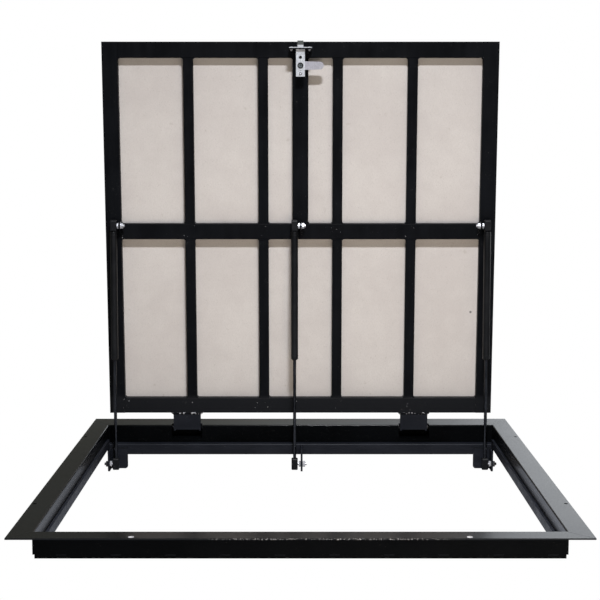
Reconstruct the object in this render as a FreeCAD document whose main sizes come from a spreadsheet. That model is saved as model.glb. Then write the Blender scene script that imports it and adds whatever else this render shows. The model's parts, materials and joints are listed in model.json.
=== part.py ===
import FreeCAD, Part
import os
import re
import Sketcher

# Recessed paving cover: a flanged steel frame that is set into the paving and
# a hinged lid that carries the tiles, held open by three gas struts.
# The frame's origin is the centre of the side fixing holes, on top of the
# flange. X runs along the hinge, Y runs from the free edge to the hinge and Z
# is up. The lid stands open. Lid pieces are drawn as if the lid were shut,
# with the hinge axis as their origin, and are then turned up about it.

# Driving sizes in millimetres and degrees
SIZES = {
    # Frame
    "open_w": (1000, "clear width between the side walls"),
    "open_d": (960, "clear depth between the front and rear walls"),
    "rear_wall_y": (453, "rear wall, from the centre of the side holes"),
    "sheet_t": (3, "frame sheet thickness"),
    "flange_w": (45, "flange width at the front and the sides"),
    "rear_flange_w": (81, "flange width over the hinges"),
    "leg_d": (44, "depth of the front and side walls"),
    "rear_leg_d": (72.5, "depth of the rear wall"),
    "bend_r": (2.5, "outer radius of the bend between flange and wall"),
    "fix_hole_d": (8, "fixing hole diameter"),
    "side_hole_edge": (8, "side fixing hole to the outer edge"),
    "end_hole_edge": (9, "front and rear fixing hole to the outer edge"),
    "side_hole_gap": (626, "distance between the two holes of a side"),
    "end_hole_gap": (626, "distance between the two holes of an end"),
    "ledge_h": (20, "height of the flat bar the lid rests on"),
    "ledge_t": (6, "thickness of that flat bar"),
    "beam_h": (28, "rear beam height"),
    "beam_d": (25, "rear beam depth"),
    "beam_wall": (1.5, "rear beam wall"),
    "beam_r": (3, "rear beam corner radius"),
    # Lid
    "lid_gap": (3, "gap round the shut lid at the front and the sides"),
    "hinge_gap": (5.6, "gap between the shut lid and the rear wall"),
    "open_angle": (87, "opening angle"),
    "tube_w": (40, "width of the lid's main tubes"),
    "tube_h": (20, "height of every lid tube"),
    "tube_wall": (2, "wall of the main tubes"),
    "tube_r": (2, "corner radius of the lid tubes"),
    "bar_w": (25, "width of the slim bars"),
    "bar_wall": (1.5, "wall of the slim bars"),
    "board_t": (12.5, "thickness of the fibre board"),
    "screw_d": (4.8, "board screw shank diameter"),
    "screw_head_d": (9, "board screw head diameter"),
    "screw_gap": (235, "distance between the screws along a rail"),
    # Hinges
    "hinge_back": (36, "hinge axis behind the rear wall"),
    "hinge_drop": (10.5, "hinge axis under the flange top"),
    "arm_in": (204, "centre of a hinge arm, from the side wall"),
    "arm_w": (71, "hinge arm width"),
    "arm_t": (5, "hinge arm plate thickness"),
    "arm_over": (3.6, "arm plate past the hinge axis"),
    "eye_r": (6.5, "radius of the hinge eyes"),
    "pin_d": (8, "hinge pin diameter"),
    "pin_clear": (0.05, "radial clearance of running pins and rods"),
    "pin_head_d": (12, "hinge pin head diameter"),
    "pin_head_t": (2, "hinge pin head thickness"),
    "arm_clear": (4, "gap on each side of a hinge arm"),
    "washer_d": (12.8, "hinge washer diameter"),
    "seat_gap": (0.2, "play of a loose washer or stud end"),
    "notch_d": (20.5, "depth of the flange notch over a hinge"),
    "slot_d": (35.5, "depth of the wall slot for a hinge arm"),
    "pocket_t": (4, "hinge pocket plate thickness"),
    "pocket_in": (10, "hinge axis to the pocket's back plate"),
    "pocket_floor": (35, "top of the pocket floor under the flange top"),
    # Struts
    "strut_in": (25.5, "side strut, from the side wall"),
    "mid_strut_x": (15, "middle strut, left of the middle"),
    "low_ball_in": (52, "lower ball in front of the rear wall"),
    "low_ball_z": (90.5, "lower ball under the flange top"),
    "top_ball_s": (492.4, "upper ball from the lid's hinge edge"),
    "top_ball_h": (17, "upper ball under the lid"),
    "rod_d": (8, "strut rod diameter"),
    "strut_tube_d": (18, "strut tube diameter"),
    "strut_bore_d": (15.6, "strut tube bore"),
    "strut_tube_l": (325, "strut tube length"),
    "strut_guide_l": (9, "length of the rod guide in the tube's mouth"),
    "strut_cap_l": (6, "solid end of the strut tube"),
    "piston_l": (10, "piston length"),
    "piston_in": (22, "piston past the tube's mouth when open"),
    "socket_w": (16, "ball socket width"),
    "socket_l": (31, "ball socket length"),
    "socket_r": (6, "ball socket corner radius"),
    "socket_edge_r": (2.5, "ball socket edge radius"),
    "neck_d": (6, "threaded neck diameter"),
    "neck_l": (8, "threaded neck length in the socket"),
    "ball_d": (10, "ball stud ball diameter"),
    "stud_d": (7, "ball stud shank diameter"),
    "stud_nut_w": (15, "ball stud collar and nut across corners"),
    "stud_collar_t": (4.7, "ball stud collar thickness"),
    "stud_nut_t": (6.5, "ball stud nut thickness"),
    "stud_out": (4, "ball stud end past its nut"),
    # Strut brackets and tabs
    "brk_t": (4, "strut bracket plate thickness"),
    "brk_gap": (6.8, "gap between a side bracket and the side wall"),
    "brk_w": (46.2, "width of a side bracket's face plate"),
    "brk_top": (56, "top of a side bracket under the flange top"),
    "brk_bottom": (108, "bottom of the strut brackets"),
    "brk_reach": (68, "front edge of a strut bracket from the rear wall"),
    "brk_r": (7, "corner radius of the strut brackets"),
    "mid_brk_x": (3, "middle of the centre bracket's plate"),
    "mid_brk_t": (5, "centre bracket plate thickness"),
    "tab_in": (14, "lid tab, from its strut"),
    "tab_t": (4, "lid tab thickness"),
    "tab_w": (32, "lid tab width at its weld"),
    "tab_r": (11, "lid tab end radius"),
    # Latch
    "plate_inset": (14, "latch face plate from the lid's free edge"),
    "plate_w": (57, "latch face plate length"),
    "plate_d": (25, "latch face plate width"),
    "plate_t": (2, "latch face plate thickness"),
    "latch_h": (24.5, "middle of the latch under the lid"),
    "latch_screw_x": (22.5, "face plate screw from the middle"),
    "latch_screw_d": (4, "face plate screw diameter"),
    "latch_screw_out": (2, "face plate screw past its nut"),
    "latch_head_d": (7, "face plate screw head diameter"),
    "latch_head_t": (1, "face plate screw head thickness"),
    "latch_nut_w": (7, "face plate nut across corners"),
    "latch_nut_t": (3, "face plate nut thickness"),
    "brace_t": (3, "latch bracket thickness"),
    "brace_foot": (12, "latch bracket foot length"),
    "case_w": (22, "latch case width"),
    "case_h": (11, "latch case height"),
    "case_l": (70, "latch case length"),
    "case_wall": (1.2, "latch case wall"),
    "case_clear": (0.5, "gap round the latch case and its moving pieces"),
    "eyelet_d": (7, "diameter of the case's hole and rivet"),
    "eyelet_at": (20, "case's hole and rivet from the hub"),
    "backset": (45, "latch hub from the face plate"),
    "hub_d": (12, "latch hub diameter"),
    "key_w": (5, "square hole of the hub"),
    "cam_r": (9.5, "reach of the hub's cam"),
    "cam_w": (4, "cam width"),
    "cam_gap": (0.7, "cam to the bolt's lug at rest"),
    "lever_l": (58, "lever length from the hub"),
    "lever_w": (21.4, "lever width at the hub"),
    "lever_end_r": (9.5, "lever end radius"),
    "lever_t": (4, "lever thickness"),
    "bolt_w": (15, "latch bolt width"),
    "bolt_t": (7, "latch bolt thickness"),
    "bolt_out": (16, "latch bolt past the face plate"),
    "bolt_bevel": (11, "length of the bolt's bevel"),
    "bolt_nose": (1.5, "thickness left at the bolt's nose"),
    "bolt_travel": (7.8, "latch bolt travel"),
    "tail_t": (2.5, "thickness of the bolt's tail"),
    "tail_w": (2.8, "width of the tail's arm"),
    "tail_bar": (5.5, "length of the tail's cross bar"),
    "spring_d": (6, "latch spring diameter"),
    "wire_d": (0.8, "latch spring wire"),
    "spring_turns": (5, "latch spring turns"),
}

# Counts of repeated pieces, and how near an edge must lie to be picked
STILE_SCREWS = 5
RAIL_SCREWS = 3
SLIM_BARS = 4
NEAR = 0.01

# Places worked out from the driving sizes
WALL_X = "(open_w / 2)"
OUTER_X = "(open_w / 2 + flange_w)"
FRONT_Y = "(rear_wall_y - open_d)"
LEDGE_TOP = "(-tube_h - board_t)"
LEDGE_BOTTOM = "(-tube_h - board_t - ledge_h)"
BEAM_Y = "(rear_wall_y - beam_d)"
HINGE_Y = "(rear_wall_y + hinge_back)"
ARM_X = "(open_w / 2 - arm_in)"
HALF_NOTCH = "(arm_w / 2 + arm_clear)"
PIN_BORE = "(pin_d / 2 + pin_clear)"
LID_X = "(open_w / 2 - lid_gap)"
LID_D = "(open_d - hinge_gap - lid_gap)"
LID_REAR = "(-hinge_back - hinge_gap)"
LID_FRONT = "(lid_gap - open_d - hinge_back)"
LID_MIDDLE = "((lid_gap - open_d - hinge_gap) / 2 - hinge_back)"
BOARD_UNDER = "(hinge_drop - board_t)"
LID_UNDER = "(hinge_drop - board_t - tube_h)"
BAR_PITCH = f"((open_w - 2 * lid_gap - 2 * tube_w + bar_w) / {SLIM_BARS + 1})"
STRUT_X = "(open_w / 2 - strut_in)"
TAB_X = "(open_w / 2 - strut_in - tab_in)"
BRACKET_OUT = "(open_w / 2 - brk_gap)"
BRACKET_IN = "(open_w / 2 - brk_gap - brk_w)"
LOW_BALL_Y = "(rear_wall_y - low_ball_in)"
TOP_BALL_A = "(-hinge_back - hinge_gap - top_ball_s)"
TOP_BALL_B = "(hinge_drop - board_t - tube_h - top_ball_h)"
TOP_BALL_Y = f"({HINGE_Y} + {TOP_BALL_A} * cos(open_angle) + {TOP_BALL_B} * sin(open_angle))"
TOP_BALL_Z = f"(-hinge_drop - {TOP_BALL_A} * sin(open_angle) + {TOP_BALL_B} * cos(open_angle))"
STRUT_DY = f"({TOP_BALL_Y} - {LOW_BALL_Y})"
STRUT_DZ = f"({TOP_BALL_Z} + low_ball_z)"
STRUT_L = f"sqrt({STRUT_DY} * {STRUT_DY} + {STRUT_DZ} * {STRUT_DZ})"
TUBE_MOUTH = f"({STRUT_L} - socket_l / 2 - strut_tube_l)"
PLATE_A = f"({LID_FRONT} + plate_inset)"
CASE_A = f"({LID_FRONT} + plate_inset + plate_t)"
CASE_END = f"({LID_FRONT} + plate_inset + plate_t + case_l)"
LATCH_B = f"({LID_UNDER} - latch_h)"
HUB_A = f"({LID_FRONT} + plate_inset + backset)"
LEVER_LOW = f"({LATCH_B} + case_h / 2 + case_clear)"

doc = FreeCAD.newDocument("recessed_paving_cover")
sheet = doc.addObject("Spreadsheet::Sheet", "Sizes")
for row, (alias, (size, meaning)) in enumerate(SIZES.items(), 1):
    sheet.set(f"A{row}", meaning)
    sheet.set(f"B{row}", str(size))
    sheet.setAlias(f"B{row}", alias)
doc.recompute()

nodes = []


def cells(text):
    """The expression with every size name pointed at its cell."""
    return re.sub(r"[a-z]\w*", lambda word: f"Sizes.{word[0]}" if word[0] in SIZES else word[0], text)


def number(text):
    """The present value of an expression."""
    answer = sheet.evalExpression(cells(text))
    return float(getattr(answer, "Value", answer))


def bind(thing, **expressions):
    """Bind properties to expressions; a double underscore stands for a dot."""
    for key, text in expressions.items():
        thing.setExpression(key.replace("__", "."), cells(text))


# Placements of whole nodes
def turned_up(thing):
    """Stand a lid piece open: its own origin is the hinge axis."""
    place = f"placement(vector(0; {HINGE_Y}; -hinge_drop); rotation(vector(1; 0; 0); -open_angle))"
    bind(thing, Placement=place)


def along_strut(thing, middle):
    """Put a piece drawn up the Z axis on a strut's line, from its lower ball."""
    lean = f"rotation(vector(1; 0; 0); -atan2({STRUT_DY}; {STRUT_DZ}))"
    bind(thing, Placement=f"placement(vector({middle}; {LOW_BALL_Y}; -low_ball_z); {lean})")


# Sketch and feature helpers
def rectangle(low_u, low_v, high_u, high_v):
    return [(low_u, low_v), (high_u, low_v), (high_u, high_v), (low_u, high_v)]


def new_body(name, place=None, *place_values):
    body = doc.addObject("PartDesign::Body", name)
    body.Label = name
    if place:
        place(body, *place_values)
    nodes.append(body)
    return body


def sketch(body, plane, at, outlines, circles):
    """A sketch across one axis, with every point bound to an expression."""
    made = body.newObject("Sketcher::SketchObject", "Profile")
    origin = next(each for each in body.Origin.OriginFeatures if each.Role == f"{plane}_Plane")
    made.AttachmentSupport = [(origin, "")]
    made.MapMode = "FlatFace"
    bind(made, AttachmentOffset__Base__z=f"-({at})" if plane == "XZ" else at)
    for outline in outlines:
        spots = [FreeCAD.Vector(number(u), number(v), 0) for u, v in outline]
        lines = []
        for spot, following in zip(spots, spots[1:] + spots[:1]):
            lines.append(made.addGeometry(Part.LineSegment(spot, following), False))
        for line, following in zip(lines, lines[1:] + lines[:1]):
            made.addConstraint(Sketcher.Constraint("Coincident", line, 2, following, 1))
        for line, (u, v), spot in zip(lines, outline, spots):
            hold(made, "DistanceX", line, 1, spot.x, u)
            hold(made, "DistanceY", line, 1, spot.y, v)
    for u, v, radius in circles:
        centre = FreeCAD.Vector(number(u), number(v), 0)
        normal = FreeCAD.Vector(0, 0, 1)
        ring = made.addGeometry(Part.Circle(centre, normal, number(radius)), False)
        hold(made, "DistanceX", ring, 3, centre.x, u)
        hold(made, "DistanceY", ring, 3, centre.y, v)
        index = made.addConstraint(Sketcher.Constraint("Radius", ring, number(radius)))
        made.setExpression(f"Constraints[{index}]", cells(radius))
    return made


def hold(made, kind, geometry, point, start, text):
    index = made.addConstraint(Sketcher.Constraint(kind, geometry, point, start))
    made.setExpression(f"Constraints[{index}]", cells(text))


def pad(body, plane, low, high, *outlines, circles=()):
    """Add material between two places on the axis across the plane."""
    profile = sketch(body, plane, high if plane == "XZ" else low, outlines, circles)
    feature = body.newObject("PartDesign::Pad", "Pad")
    feature.Profile = profile
    bind(feature, Length=f"({high}) - ({low})")
    doc.recompute()
    return feature


def pocket(body, plane, low, high, *outlines, circles=()):
    """Take material away between two places on the axis across the plane."""
    before = body.Shape.Volume
    profile = sketch(body, plane, low if plane == "XZ" else high, outlines, circles)
    feature = body.newObject("PartDesign::Pocket", "Pocket")
    feature.Profile = profile
    bind(feature, Length=f"({high}) - ({low})")
    doc.recompute()
    if body.Shape.Volume >= before:
        raise ValueError(f"a pocket of {body.Label} cuts nothing")
    return feature


def at(**places):
    """A test for edges that lie wholly at the given coordinates."""
    wanted = {axis: [number(text) for text in texts] for axis, texts in places.items()}

    def test(edge):
        box = edge.BoundBox
        for axis, values in wanted.items():
            low = getattr(box, f"{axis}Min")
            high = getattr(box, f"{axis}Max")
            if not any(abs(low - value) < NEAR and abs(high - value) < NEAR for value in values):
                return False
        return True
    return test


def dress(body, kind, size, value, test):
    """Round or bevel the edges that pass the test."""
    base = body.Tip
    names = [f"Edge{index}" for index, edge in enumerate(base.Shape.Edges, 1) if test(edge)]
    feature = body.newObject(f"PartDesign::{kind}", kind)
    feature.Base = (base, names)
    bind(feature, **{size: value})
    doc.recompute()


def fillet(body, radius, test):
    dress(body, "Fillet", "Radius", radius, test)


def revolve(body, outline):
    """Turn a half profile, given as radius and height, about the Z axis."""
    profile = sketch(body, "XZ", "0", [outline], ())
    feature = body.newObject("PartDesign::Revolution", "Revolution")
    feature.Profile = profile
    feature.ReferenceAxis = (profile, ["V_Axis"])
    feature.Angle = 360
    doc.recompute()


def mirrored(side, low, high):
    """A range on the X axis, on the left when side is -1."""
    return (low, high) if side == "1" else (f"-({high})", f"-({low})")


def spread(count):
    """The steps of a row of copies that is centred on zero."""
    return [index - (count - 1) / 2 for index in range(count)]


def tube(name, plane, low, high, low_u, low_v, high_u, high_v, wall, radius, place=None):
    """A rectangular tube with rounded outer edges and open ends."""
    body = new_body(name, *([place] if place else []))
    outer = rectangle(low_u, low_v, high_u, high_v)
    inner = rectangle(f"{low_u} + {wall}", f"{low_v} + {wall}", f"{high_u} - {wall}", f"{high_v} - {wall}")
    pad(body, plane, low, high, outer, inner)
    corners = {plane[0]: [low_u, high_u], plane[1]: [low_v, high_v]}
    fillet(body, radius, at(**corners))
    return body


# Frame sheets with mitred corners
def frame_sheet(name, flange, leg, depth, holes, heel):
    body = new_body(name)
    pad(body, "XY", "-sheet_t", "0", flange)
    pad(body, "XY", f"-({depth})", "0", leg)
    pocket(body, "XY", "-sheet_t", "0", circles=[(u, v, "fix_hole_d / 2") for u, v in holes])
    fillet(body, "bend_r", at(**heel, Z=["0"]))
    return body


def frame_front():
    flange = [
        (f"-{OUTER_X}", f"{FRONT_Y} - flange_w"),
        (OUTER_X, f"{FRONT_Y} - flange_w"),
        (WALL_X, FRONT_Y),
        (f"-{WALL_X}", FRONT_Y),
    ]
    leg = [
        (f"-{WALL_X} - sheet_t", f"{FRONT_Y} - sheet_t"),
        (f"{WALL_X} + sheet_t", f"{FRONT_Y} - sheet_t"),
        (WALL_X, FRONT_Y),
        (f"-{WALL_X}", FRONT_Y),
    ]
    hole_y = f"{FRONT_Y} - flange_w + end_hole_edge"
    holes = [("-end_hole_gap / 2", hole_y), ("end_hole_gap / 2", hole_y)]
    frame_sheet("frame_front", flange, leg, "leg_d", holes, {"Y": [FRONT_Y]})


def frame_side(name, side):
    flange = [
        (f"{side} * {OUTER_X}", f"{FRONT_Y} - flange_w"),
        (f"{side} * {OUTER_X}", "rear_wall_y + rear_flange_w"),
        (f"{side} * {WALL_X}", "rear_wall_y"),
        (f"{side} * {WALL_X}", FRONT_Y),
    ]
    leg = [
        (f"{side} * ({WALL_X} + sheet_t)", f"{FRONT_Y} - sheet_t"),
        (f"{side} * ({WALL_X} + sheet_t)", "rear_wall_y + sheet_t"),
        (f"{side} * {WALL_X}", "rear_wall_y"),
        (f"{side} * {WALL_X}", FRONT_Y),
    ]
    hole_x = f"{side} * ({OUTER_X} - side_hole_edge)"
    holes = [(hole_x, "-side_hole_gap / 2"), (hole_x, "side_hole_gap / 2")]
    frame_sheet(name, flange, leg, "leg_d", holes, {"X": [f"{side} * {WALL_X}"]})


def frame_rear():
    flange = [
        (f"-{OUTER_X}", "rear_wall_y + rear_flange_w"),
        (f"-{WALL_X}", "rear_wall_y"),
        (WALL_X, "rear_wall_y"),
        (OUTER_X, "rear_wall_y + rear_flange_w"),
    ]
    leg = [
        (f"-{WALL_X} - sheet_t", "rear_wall_y + sheet_t"),
        (f"-{WALL_X}", "rear_wall_y"),
        (WALL_X, "rear_wall_y"),
        (f"{WALL_X} + sheet_t", "rear_wall_y + sheet_t"),
    ]
    hole_y = "rear_wall_y + rear_flange_w - end_hole_edge"
    holes = [("-end_hole_gap / 2", hole_y), ("end_hole_gap / 2", hole_y)]
    body = frame_sheet("frame_rear", flange, leg, "rear_leg_d", holes, {"Y": ["rear_wall_y"]})
    for side in ("-1", "1"):
        low, high = mirrored(side, f"{ARM_X} - {HALF_NOTCH}", f"{ARM_X} + {HALF_NOTCH}")
        notch = rectangle(low, "rear_wall_y - sheet_t", high, "rear_wall_y + notch_d")
        pocket(body, "XY", "-slot_d", "sheet_t", notch)


def ledges():
    """Flat bars under the lid's edges; the side bars run from bar to beam."""
    front = new_body("ledge_front")
    bar = rectangle(f"-{WALL_X}", FRONT_Y, WALL_X, f"{FRONT_Y} + ledge_t")
    pad(front, "XY", LEDGE_BOTTOM, LEDGE_TOP, bar)
    for name, side in (("ledge_left", "-1"), ("ledge_right", "1")):
        body = new_body(name)
        low, high = mirrored(side, f"{WALL_X} - ledge_t", WALL_X)
        pad(body, "XY", LEDGE_BOTTOM, LEDGE_TOP, rectangle(low, f"{FRONT_Y} + ledge_t", high, BEAM_Y))


def hinge_pocket(name, side):
    """A welded plate box behind the rear wall that carries the hinge pin."""
    body = new_body(name)
    inner = mirrored(side, f"{ARM_X} - {HALF_NOTCH}", f"{ARM_X} + {HALF_NOTCH}")
    outer = mirrored(side, f"{ARM_X} - {HALF_NOTCH} - pocket_t", f"{ARM_X} + {HALF_NOTCH} + pocket_t")
    front = "rear_wall_y + sheet_t"
    back = f"{HINGE_Y} + pocket_in"
    shell = rectangle(outer[0], front, outer[1], f"{back} + pocket_t")
    pad(body, "XY", "-pocket_floor - pocket_t", "-sheet_t", shell)
    pocket(body, "XY", "-pocket_floor", "-sheet_t", rectangle(inner[0], front, inner[1], back))
    pocket(body, "YZ", outer[0], outer[1], circles=[(HINGE_Y, "-hinge_drop", PIN_BORE)])


def strut_bracket(name, side):
    """A folded plate: one leaf on the rear beam and one for the ball stud."""
    body = new_body(name)
    face = mirrored(side, BRACKET_IN, BRACKET_OUT)
    leaf = mirrored(side, f"{BRACKET_OUT} - brk_t", BRACKET_OUT)
    pad(body, "XY", "-brk_bottom", "-brk_top", rectangle(face[0], f"{BEAM_Y} - brk_t", face[1], BEAM_Y))
    side_leaf = rectangle("rear_wall_y - brk_reach", "-brk_bottom", f"{BEAM_Y} - brk_t", "-brk_top")
    pad(body, "YZ", leaf[0], leaf[1], side_leaf)
    pocket(body, "YZ", leaf[0], leaf[1], circles=[(LOW_BALL_Y, "-low_ball_z", "stud_d / 2")])
    fillet(body, "brk_r", at(X=[f"{side} * {BRACKET_IN}"], Z=["-brk_bottom"]))
    fillet(body, "brk_r", at(Y=["rear_wall_y - brk_reach"], Z=["-brk_bottom"]))


def centre_bracket():
    body = new_body("strut_bracket_centre")
    leaf = rectangle("rear_wall_y - brk_reach", "-brk_bottom", BEAM_Y, "-rear_leg_d + beam_h - brk_t")
    low = "mid_brk_x - mid_brk_t / 2"
    high = "mid_brk_x + mid_brk_t / 2"
    pad(body, "YZ", low, high, leaf)
    pocket(body, "YZ", low, high, circles=[(LOW_BALL_Y, "-low_ball_z", "stud_d / 2")])
    fillet(body, "brk_r", at(Y=["rear_wall_y - brk_reach", BEAM_Y], Z=["-brk_bottom"]))


# Fasteners made of primitives, several in one node
def solid(kind, base, turn, **sizes):
    """A primitive at a place, turned so that its length runs along X when asked."""
    made = doc.addObject(f"Part::{kind}", kind)
    bind(made, **sizes)
    if turn:
        made.Placement.Rotation = FreeCAD.Rotation(FreeCAD.Vector(0, 1, 0), 90)
    for axis, text in zip("xyz", base):
        bind(made, **{f"Placement__Base__{axis}": text})
    return made


def fused(pieces):
    made = doc.addObject("Part::MultiFuse", "Fastener")
    made.Shapes = pieces
    return made


def group(name, members, place=None):
    made = doc.addObject("Part::Compound", name)
    made.Links = members
    made.Label = name
    if place:
        place(made)
    nodes.append(made)


def hinge_pins():
    """Riveted pins: a shank through both pocket cheeks and a head on each."""
    pins = []
    for side in ("-1", "1"):
        reach = f"{HALF_NOTCH} + pocket_t"
        low, high = mirrored(side, f"{ARM_X} - ({reach})", f"{ARM_X} + ({reach})")
        shank = solid("Cylinder", (low, HINGE_Y, "-hinge_drop"), True,
                      Radius="pin_d / 2", Height=f"2 * ({reach})")
        first = solid("Cylinder", (f"{low} - pin_head_t", HINGE_Y, "-hinge_drop"), True,
                      Radius="pin_head_d / 2", Height="pin_head_t")
        second = solid("Cylinder", (high, HINGE_Y, "-hinge_drop"), True,
                       Radius="pin_head_d / 2", Height="pin_head_t")
        pins.append(fused([shank, first, second]))
    group("hinge_pins", pins)


def hinge_washers():
    """Spacing washers between each arm and its pocket."""
    washers = []
    for middle in (f"-{ARM_X}", ARM_X):
        for start in (f"{middle} - {HALF_NOTCH}", f"{middle} + arm_w / 2 + seat_gap"):
            base = (start, HINGE_Y, "-hinge_drop")
            ring = solid("Cylinder", base, True, Radius="washer_d / 2", Height="arm_clear - seat_gap")
            hole = solid("Cylinder", base, True, Radius=PIN_BORE, Height="arm_clear - seat_gap")
            washer = doc.addObject("Part::Cut", "Washer")
            washer.Base = ring
            washer.Tool = hole
            washers.append(washer)
    group("hinge_washers", washers)


def hexagon(low, high, line):
    """A six-sided nut or collar between two places on the X axis."""
    return solid("Prism", (low, *line), True, Polygon="6", Circumradius="stud_nut_w / 2",
                 Height=f"({high}) - ({low})")


def lower_studs():
    """Ball studs through the strut brackets, with a nut behind the plate."""
    studs = []
    plates = [
        ("-1", f"-{STRUT_X}", f"{BRACKET_OUT} - brk_t", BRACKET_OUT),
        ("1", STRUT_X, f"{BRACKET_OUT} - brk_t", BRACKET_OUT),
        ("1", "-mid_strut_x", "mid_brk_x - mid_brk_t / 2", "mid_brk_x + mid_brk_t / 2"),
    ]
    for side, ball_x, near, far in plates:
        line = (LOW_BALL_Y, "-low_ball_z")
        low, high = mirrored(side, f"{side} * ({ball_x})", f"{far} + stud_nut_t + stud_out")
        collar = mirrored(side, f"{near} - stud_collar_t", near)
        nut = mirrored(side, far, f"{far} + stud_nut_t")
        ball = solid("Sphere", (ball_x, *line), True, Radius="ball_d / 2")
        shank = solid("Cylinder", (low, *line), True, Radius="stud_d / 2", Height=f"({high}) - ({low})")
        studs.append(fused([ball, shank, hexagon(*collar, line), hexagon(*nut, line)]))
    group("lower_ball_studs", studs)


def upper_studs():
    """Studs on the lid tabs; each ends beside its strut's upper socket."""
    studs = []
    tabs = [
        ("-1", f"-{STRUT_X}", f"-{TAB_X}"),
        ("1", STRUT_X, TAB_X),
        ("-1", "-mid_strut_x", "-mid_strut_x + tab_in"),
    ]
    for side, ball_x, tab in tabs:
        line = (TOP_BALL_A, TOP_BALL_B)
        tip = f"{ball_x} - {side} * (socket_w / 2 + seat_gap)"
        inner = f"{side} * ({tab}) - tab_t"
        low, high = mirrored(side, f"{inner} - stud_nut_t - stud_out", f"{side} * ({tip})")
        collar = mirrored(side, f"{side} * ({tab})", f"{side} * ({tab}) + stud_collar_t")
        nut = mirrored(side, f"{inner} - stud_nut_t", inner)
        shank = solid("Cylinder", (low, *line), True, Radius="stud_d / 2", Height=f"({high}) - ({low})")
        studs.append(fused([shank, hexagon(*collar, line), hexagon(*nut, line)]))
    group("upper_ball_studs", studs, turned_up)


# Lid frame and board
def screw_rows():
    """The middles of the board screws, as places on X and along the lid."""
    spots = []
    for side in ("-1", "1"):
        for step in spread(STILE_SCREWS):
            along = f"{LID_MIDDLE} + {step} * ({LID_D} - tube_w) / {STILE_SCREWS - 1}"
            spots.append((f"{side} * ({LID_X} - tube_w / 2)", along))
    for row in (f"{LID_REAR} - tube_w / 2", LID_MIDDLE, f"{LID_FRONT} + tube_w / 2"):
        for step in spread(RAIL_SCREWS):
            spots.append((f"{step} * screw_gap", row))
    return spots


def drill(body, spots):
    """Pilot holes for the board screws in a tube's upper wall."""
    holes = [(u, v, "screw_d / 2") for u, v in spots]
    pocket(body, "XY", f"{BOARD_UNDER} - tube_wall", BOARD_UNDER, circles=holes)


def lid_frame():
    spots = screw_rows()
    for index, (name, side) in enumerate((("lid_stile_left", "-1"), ("lid_stile_right", "1"))):
        low, high = mirrored(side, f"{LID_X} - tube_w", LID_X)
        stile = tube(name, "XZ", LID_FRONT, LID_REAR, low, LID_UNDER, high, BOARD_UNDER,
                     "tube_wall", "tube_r", turned_up)
        drill(stile, spots[STILE_SCREWS * index:STILE_SCREWS * (index + 1)])
    rails = (
        ("lid_rail_hinge", f"{LID_REAR} - tube_w", LID_REAR),
        ("lid_rail_middle", f"{LID_MIDDLE} - tube_w / 2", f"{LID_MIDDLE} + tube_w / 2"),
        ("lid_rail_latch", LID_FRONT, f"{LID_FRONT} + tube_w"),
    )
    for index, (name, front, rear) in enumerate(rails):
        rail = tube(name, "YZ", f"-{LID_X} + tube_w", f"{LID_X} - tube_w", front, LID_UNDER, rear,
                    BOARD_UNDER, "tube_wall", "tube_r", turned_up)
        first = 2 * STILE_SCREWS + RAIL_SCREWS * index
        drill(rail, spots[first:first + RAIL_SCREWS])
    upper = (f"{LID_FRONT} + tube_w", f"{LID_MIDDLE} - tube_w / 2")
    lower = (f"{LID_MIDDLE} + tube_w / 2", f"{LID_REAR} - tube_w")
    tube("lid_bar_centre", "XZ", *upper, "-tube_w / 2", LID_UNDER, "tube_w / 2", BOARD_UNDER,
         "tube_wall", "tube_r", turned_up)
    for half, (front, rear) in (("upper", upper), ("lower", lower)):
        for index, step in enumerate(spread(SLIM_BARS), 1):
            middle = f"{step} * {BAR_PITCH}"
            tube(f"lid_bar_{half}_{index}", "XZ", front, rear, f"{middle} - bar_w / 2", LID_UNDER,
                 f"{middle} + bar_w / 2", BOARD_UNDER, "bar_wall", "tube_r", turned_up)


def tile_board():
    """Fibre board with countersunk holes on the side that takes the tiles."""
    body = new_body("tile_board", turned_up)
    holes = [(u, v, "screw_d / 2") for u, v in screw_rows()]
    outline = rectangle(f"-{LID_X}", LID_FRONT, LID_X, LID_REAR)
    pad(body, "XY", BOARD_UNDER, "hinge_drop", outline, circles=holes)

    def rim(edge):
        return isinstance(edge.Curve, Part.Circle) and at(Z=["hinge_drop"])(edge)
    dress(body, "Chamfer", "Size", "(screw_head_d - screw_d) / 2 + pin_clear", rim)


def board_screws():
    screws = []
    for u, v in screw_rows():
        depth = "(screw_head_d - screw_d) / 2"
        head = solid("Cone", (u, v, f"hinge_drop - {depth}"), False,
                     Radius1="screw_d / 2", Radius2="screw_head_d / 2", Height=depth)
        shank = solid("Cylinder", (u, v, f"{BOARD_UNDER} - tube_wall"), False,
                      Radius="screw_d / 2 - pin_clear", Height=f"board_t + tube_wall - {depth}")
        screws.append(fused([head, shank]))
    group("board_screws", screws, turned_up)


def hinge_arm(name, side):
    """A channel of plate: the web is welded to the lid, the cheeks hold the pin."""
    body = new_body(name, turned_up)
    low, high = mirrored(side, f"{ARM_X} - arm_w / 2", f"{ARM_X} + arm_w / 2")
    pad(body, "XY", LID_UNDER, f"{LID_UNDER} + arm_t", rectangle(low, LID_REAR, high, "arm_over"))
    eye = [("0", "0", "eye_r")]
    cheek = rectangle("-eye_r", LID_UNDER, "eye_r", "0")
    for start, end in ((low, f"{low} + arm_t"), (f"{high} - arm_t", high)):
        pad(body, "YZ", start, end, cheek)
        pad(body, "YZ", start, end, circles=eye)
    pocket(body, "YZ", low, high, circles=[("0", "0", PIN_BORE)])


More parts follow.
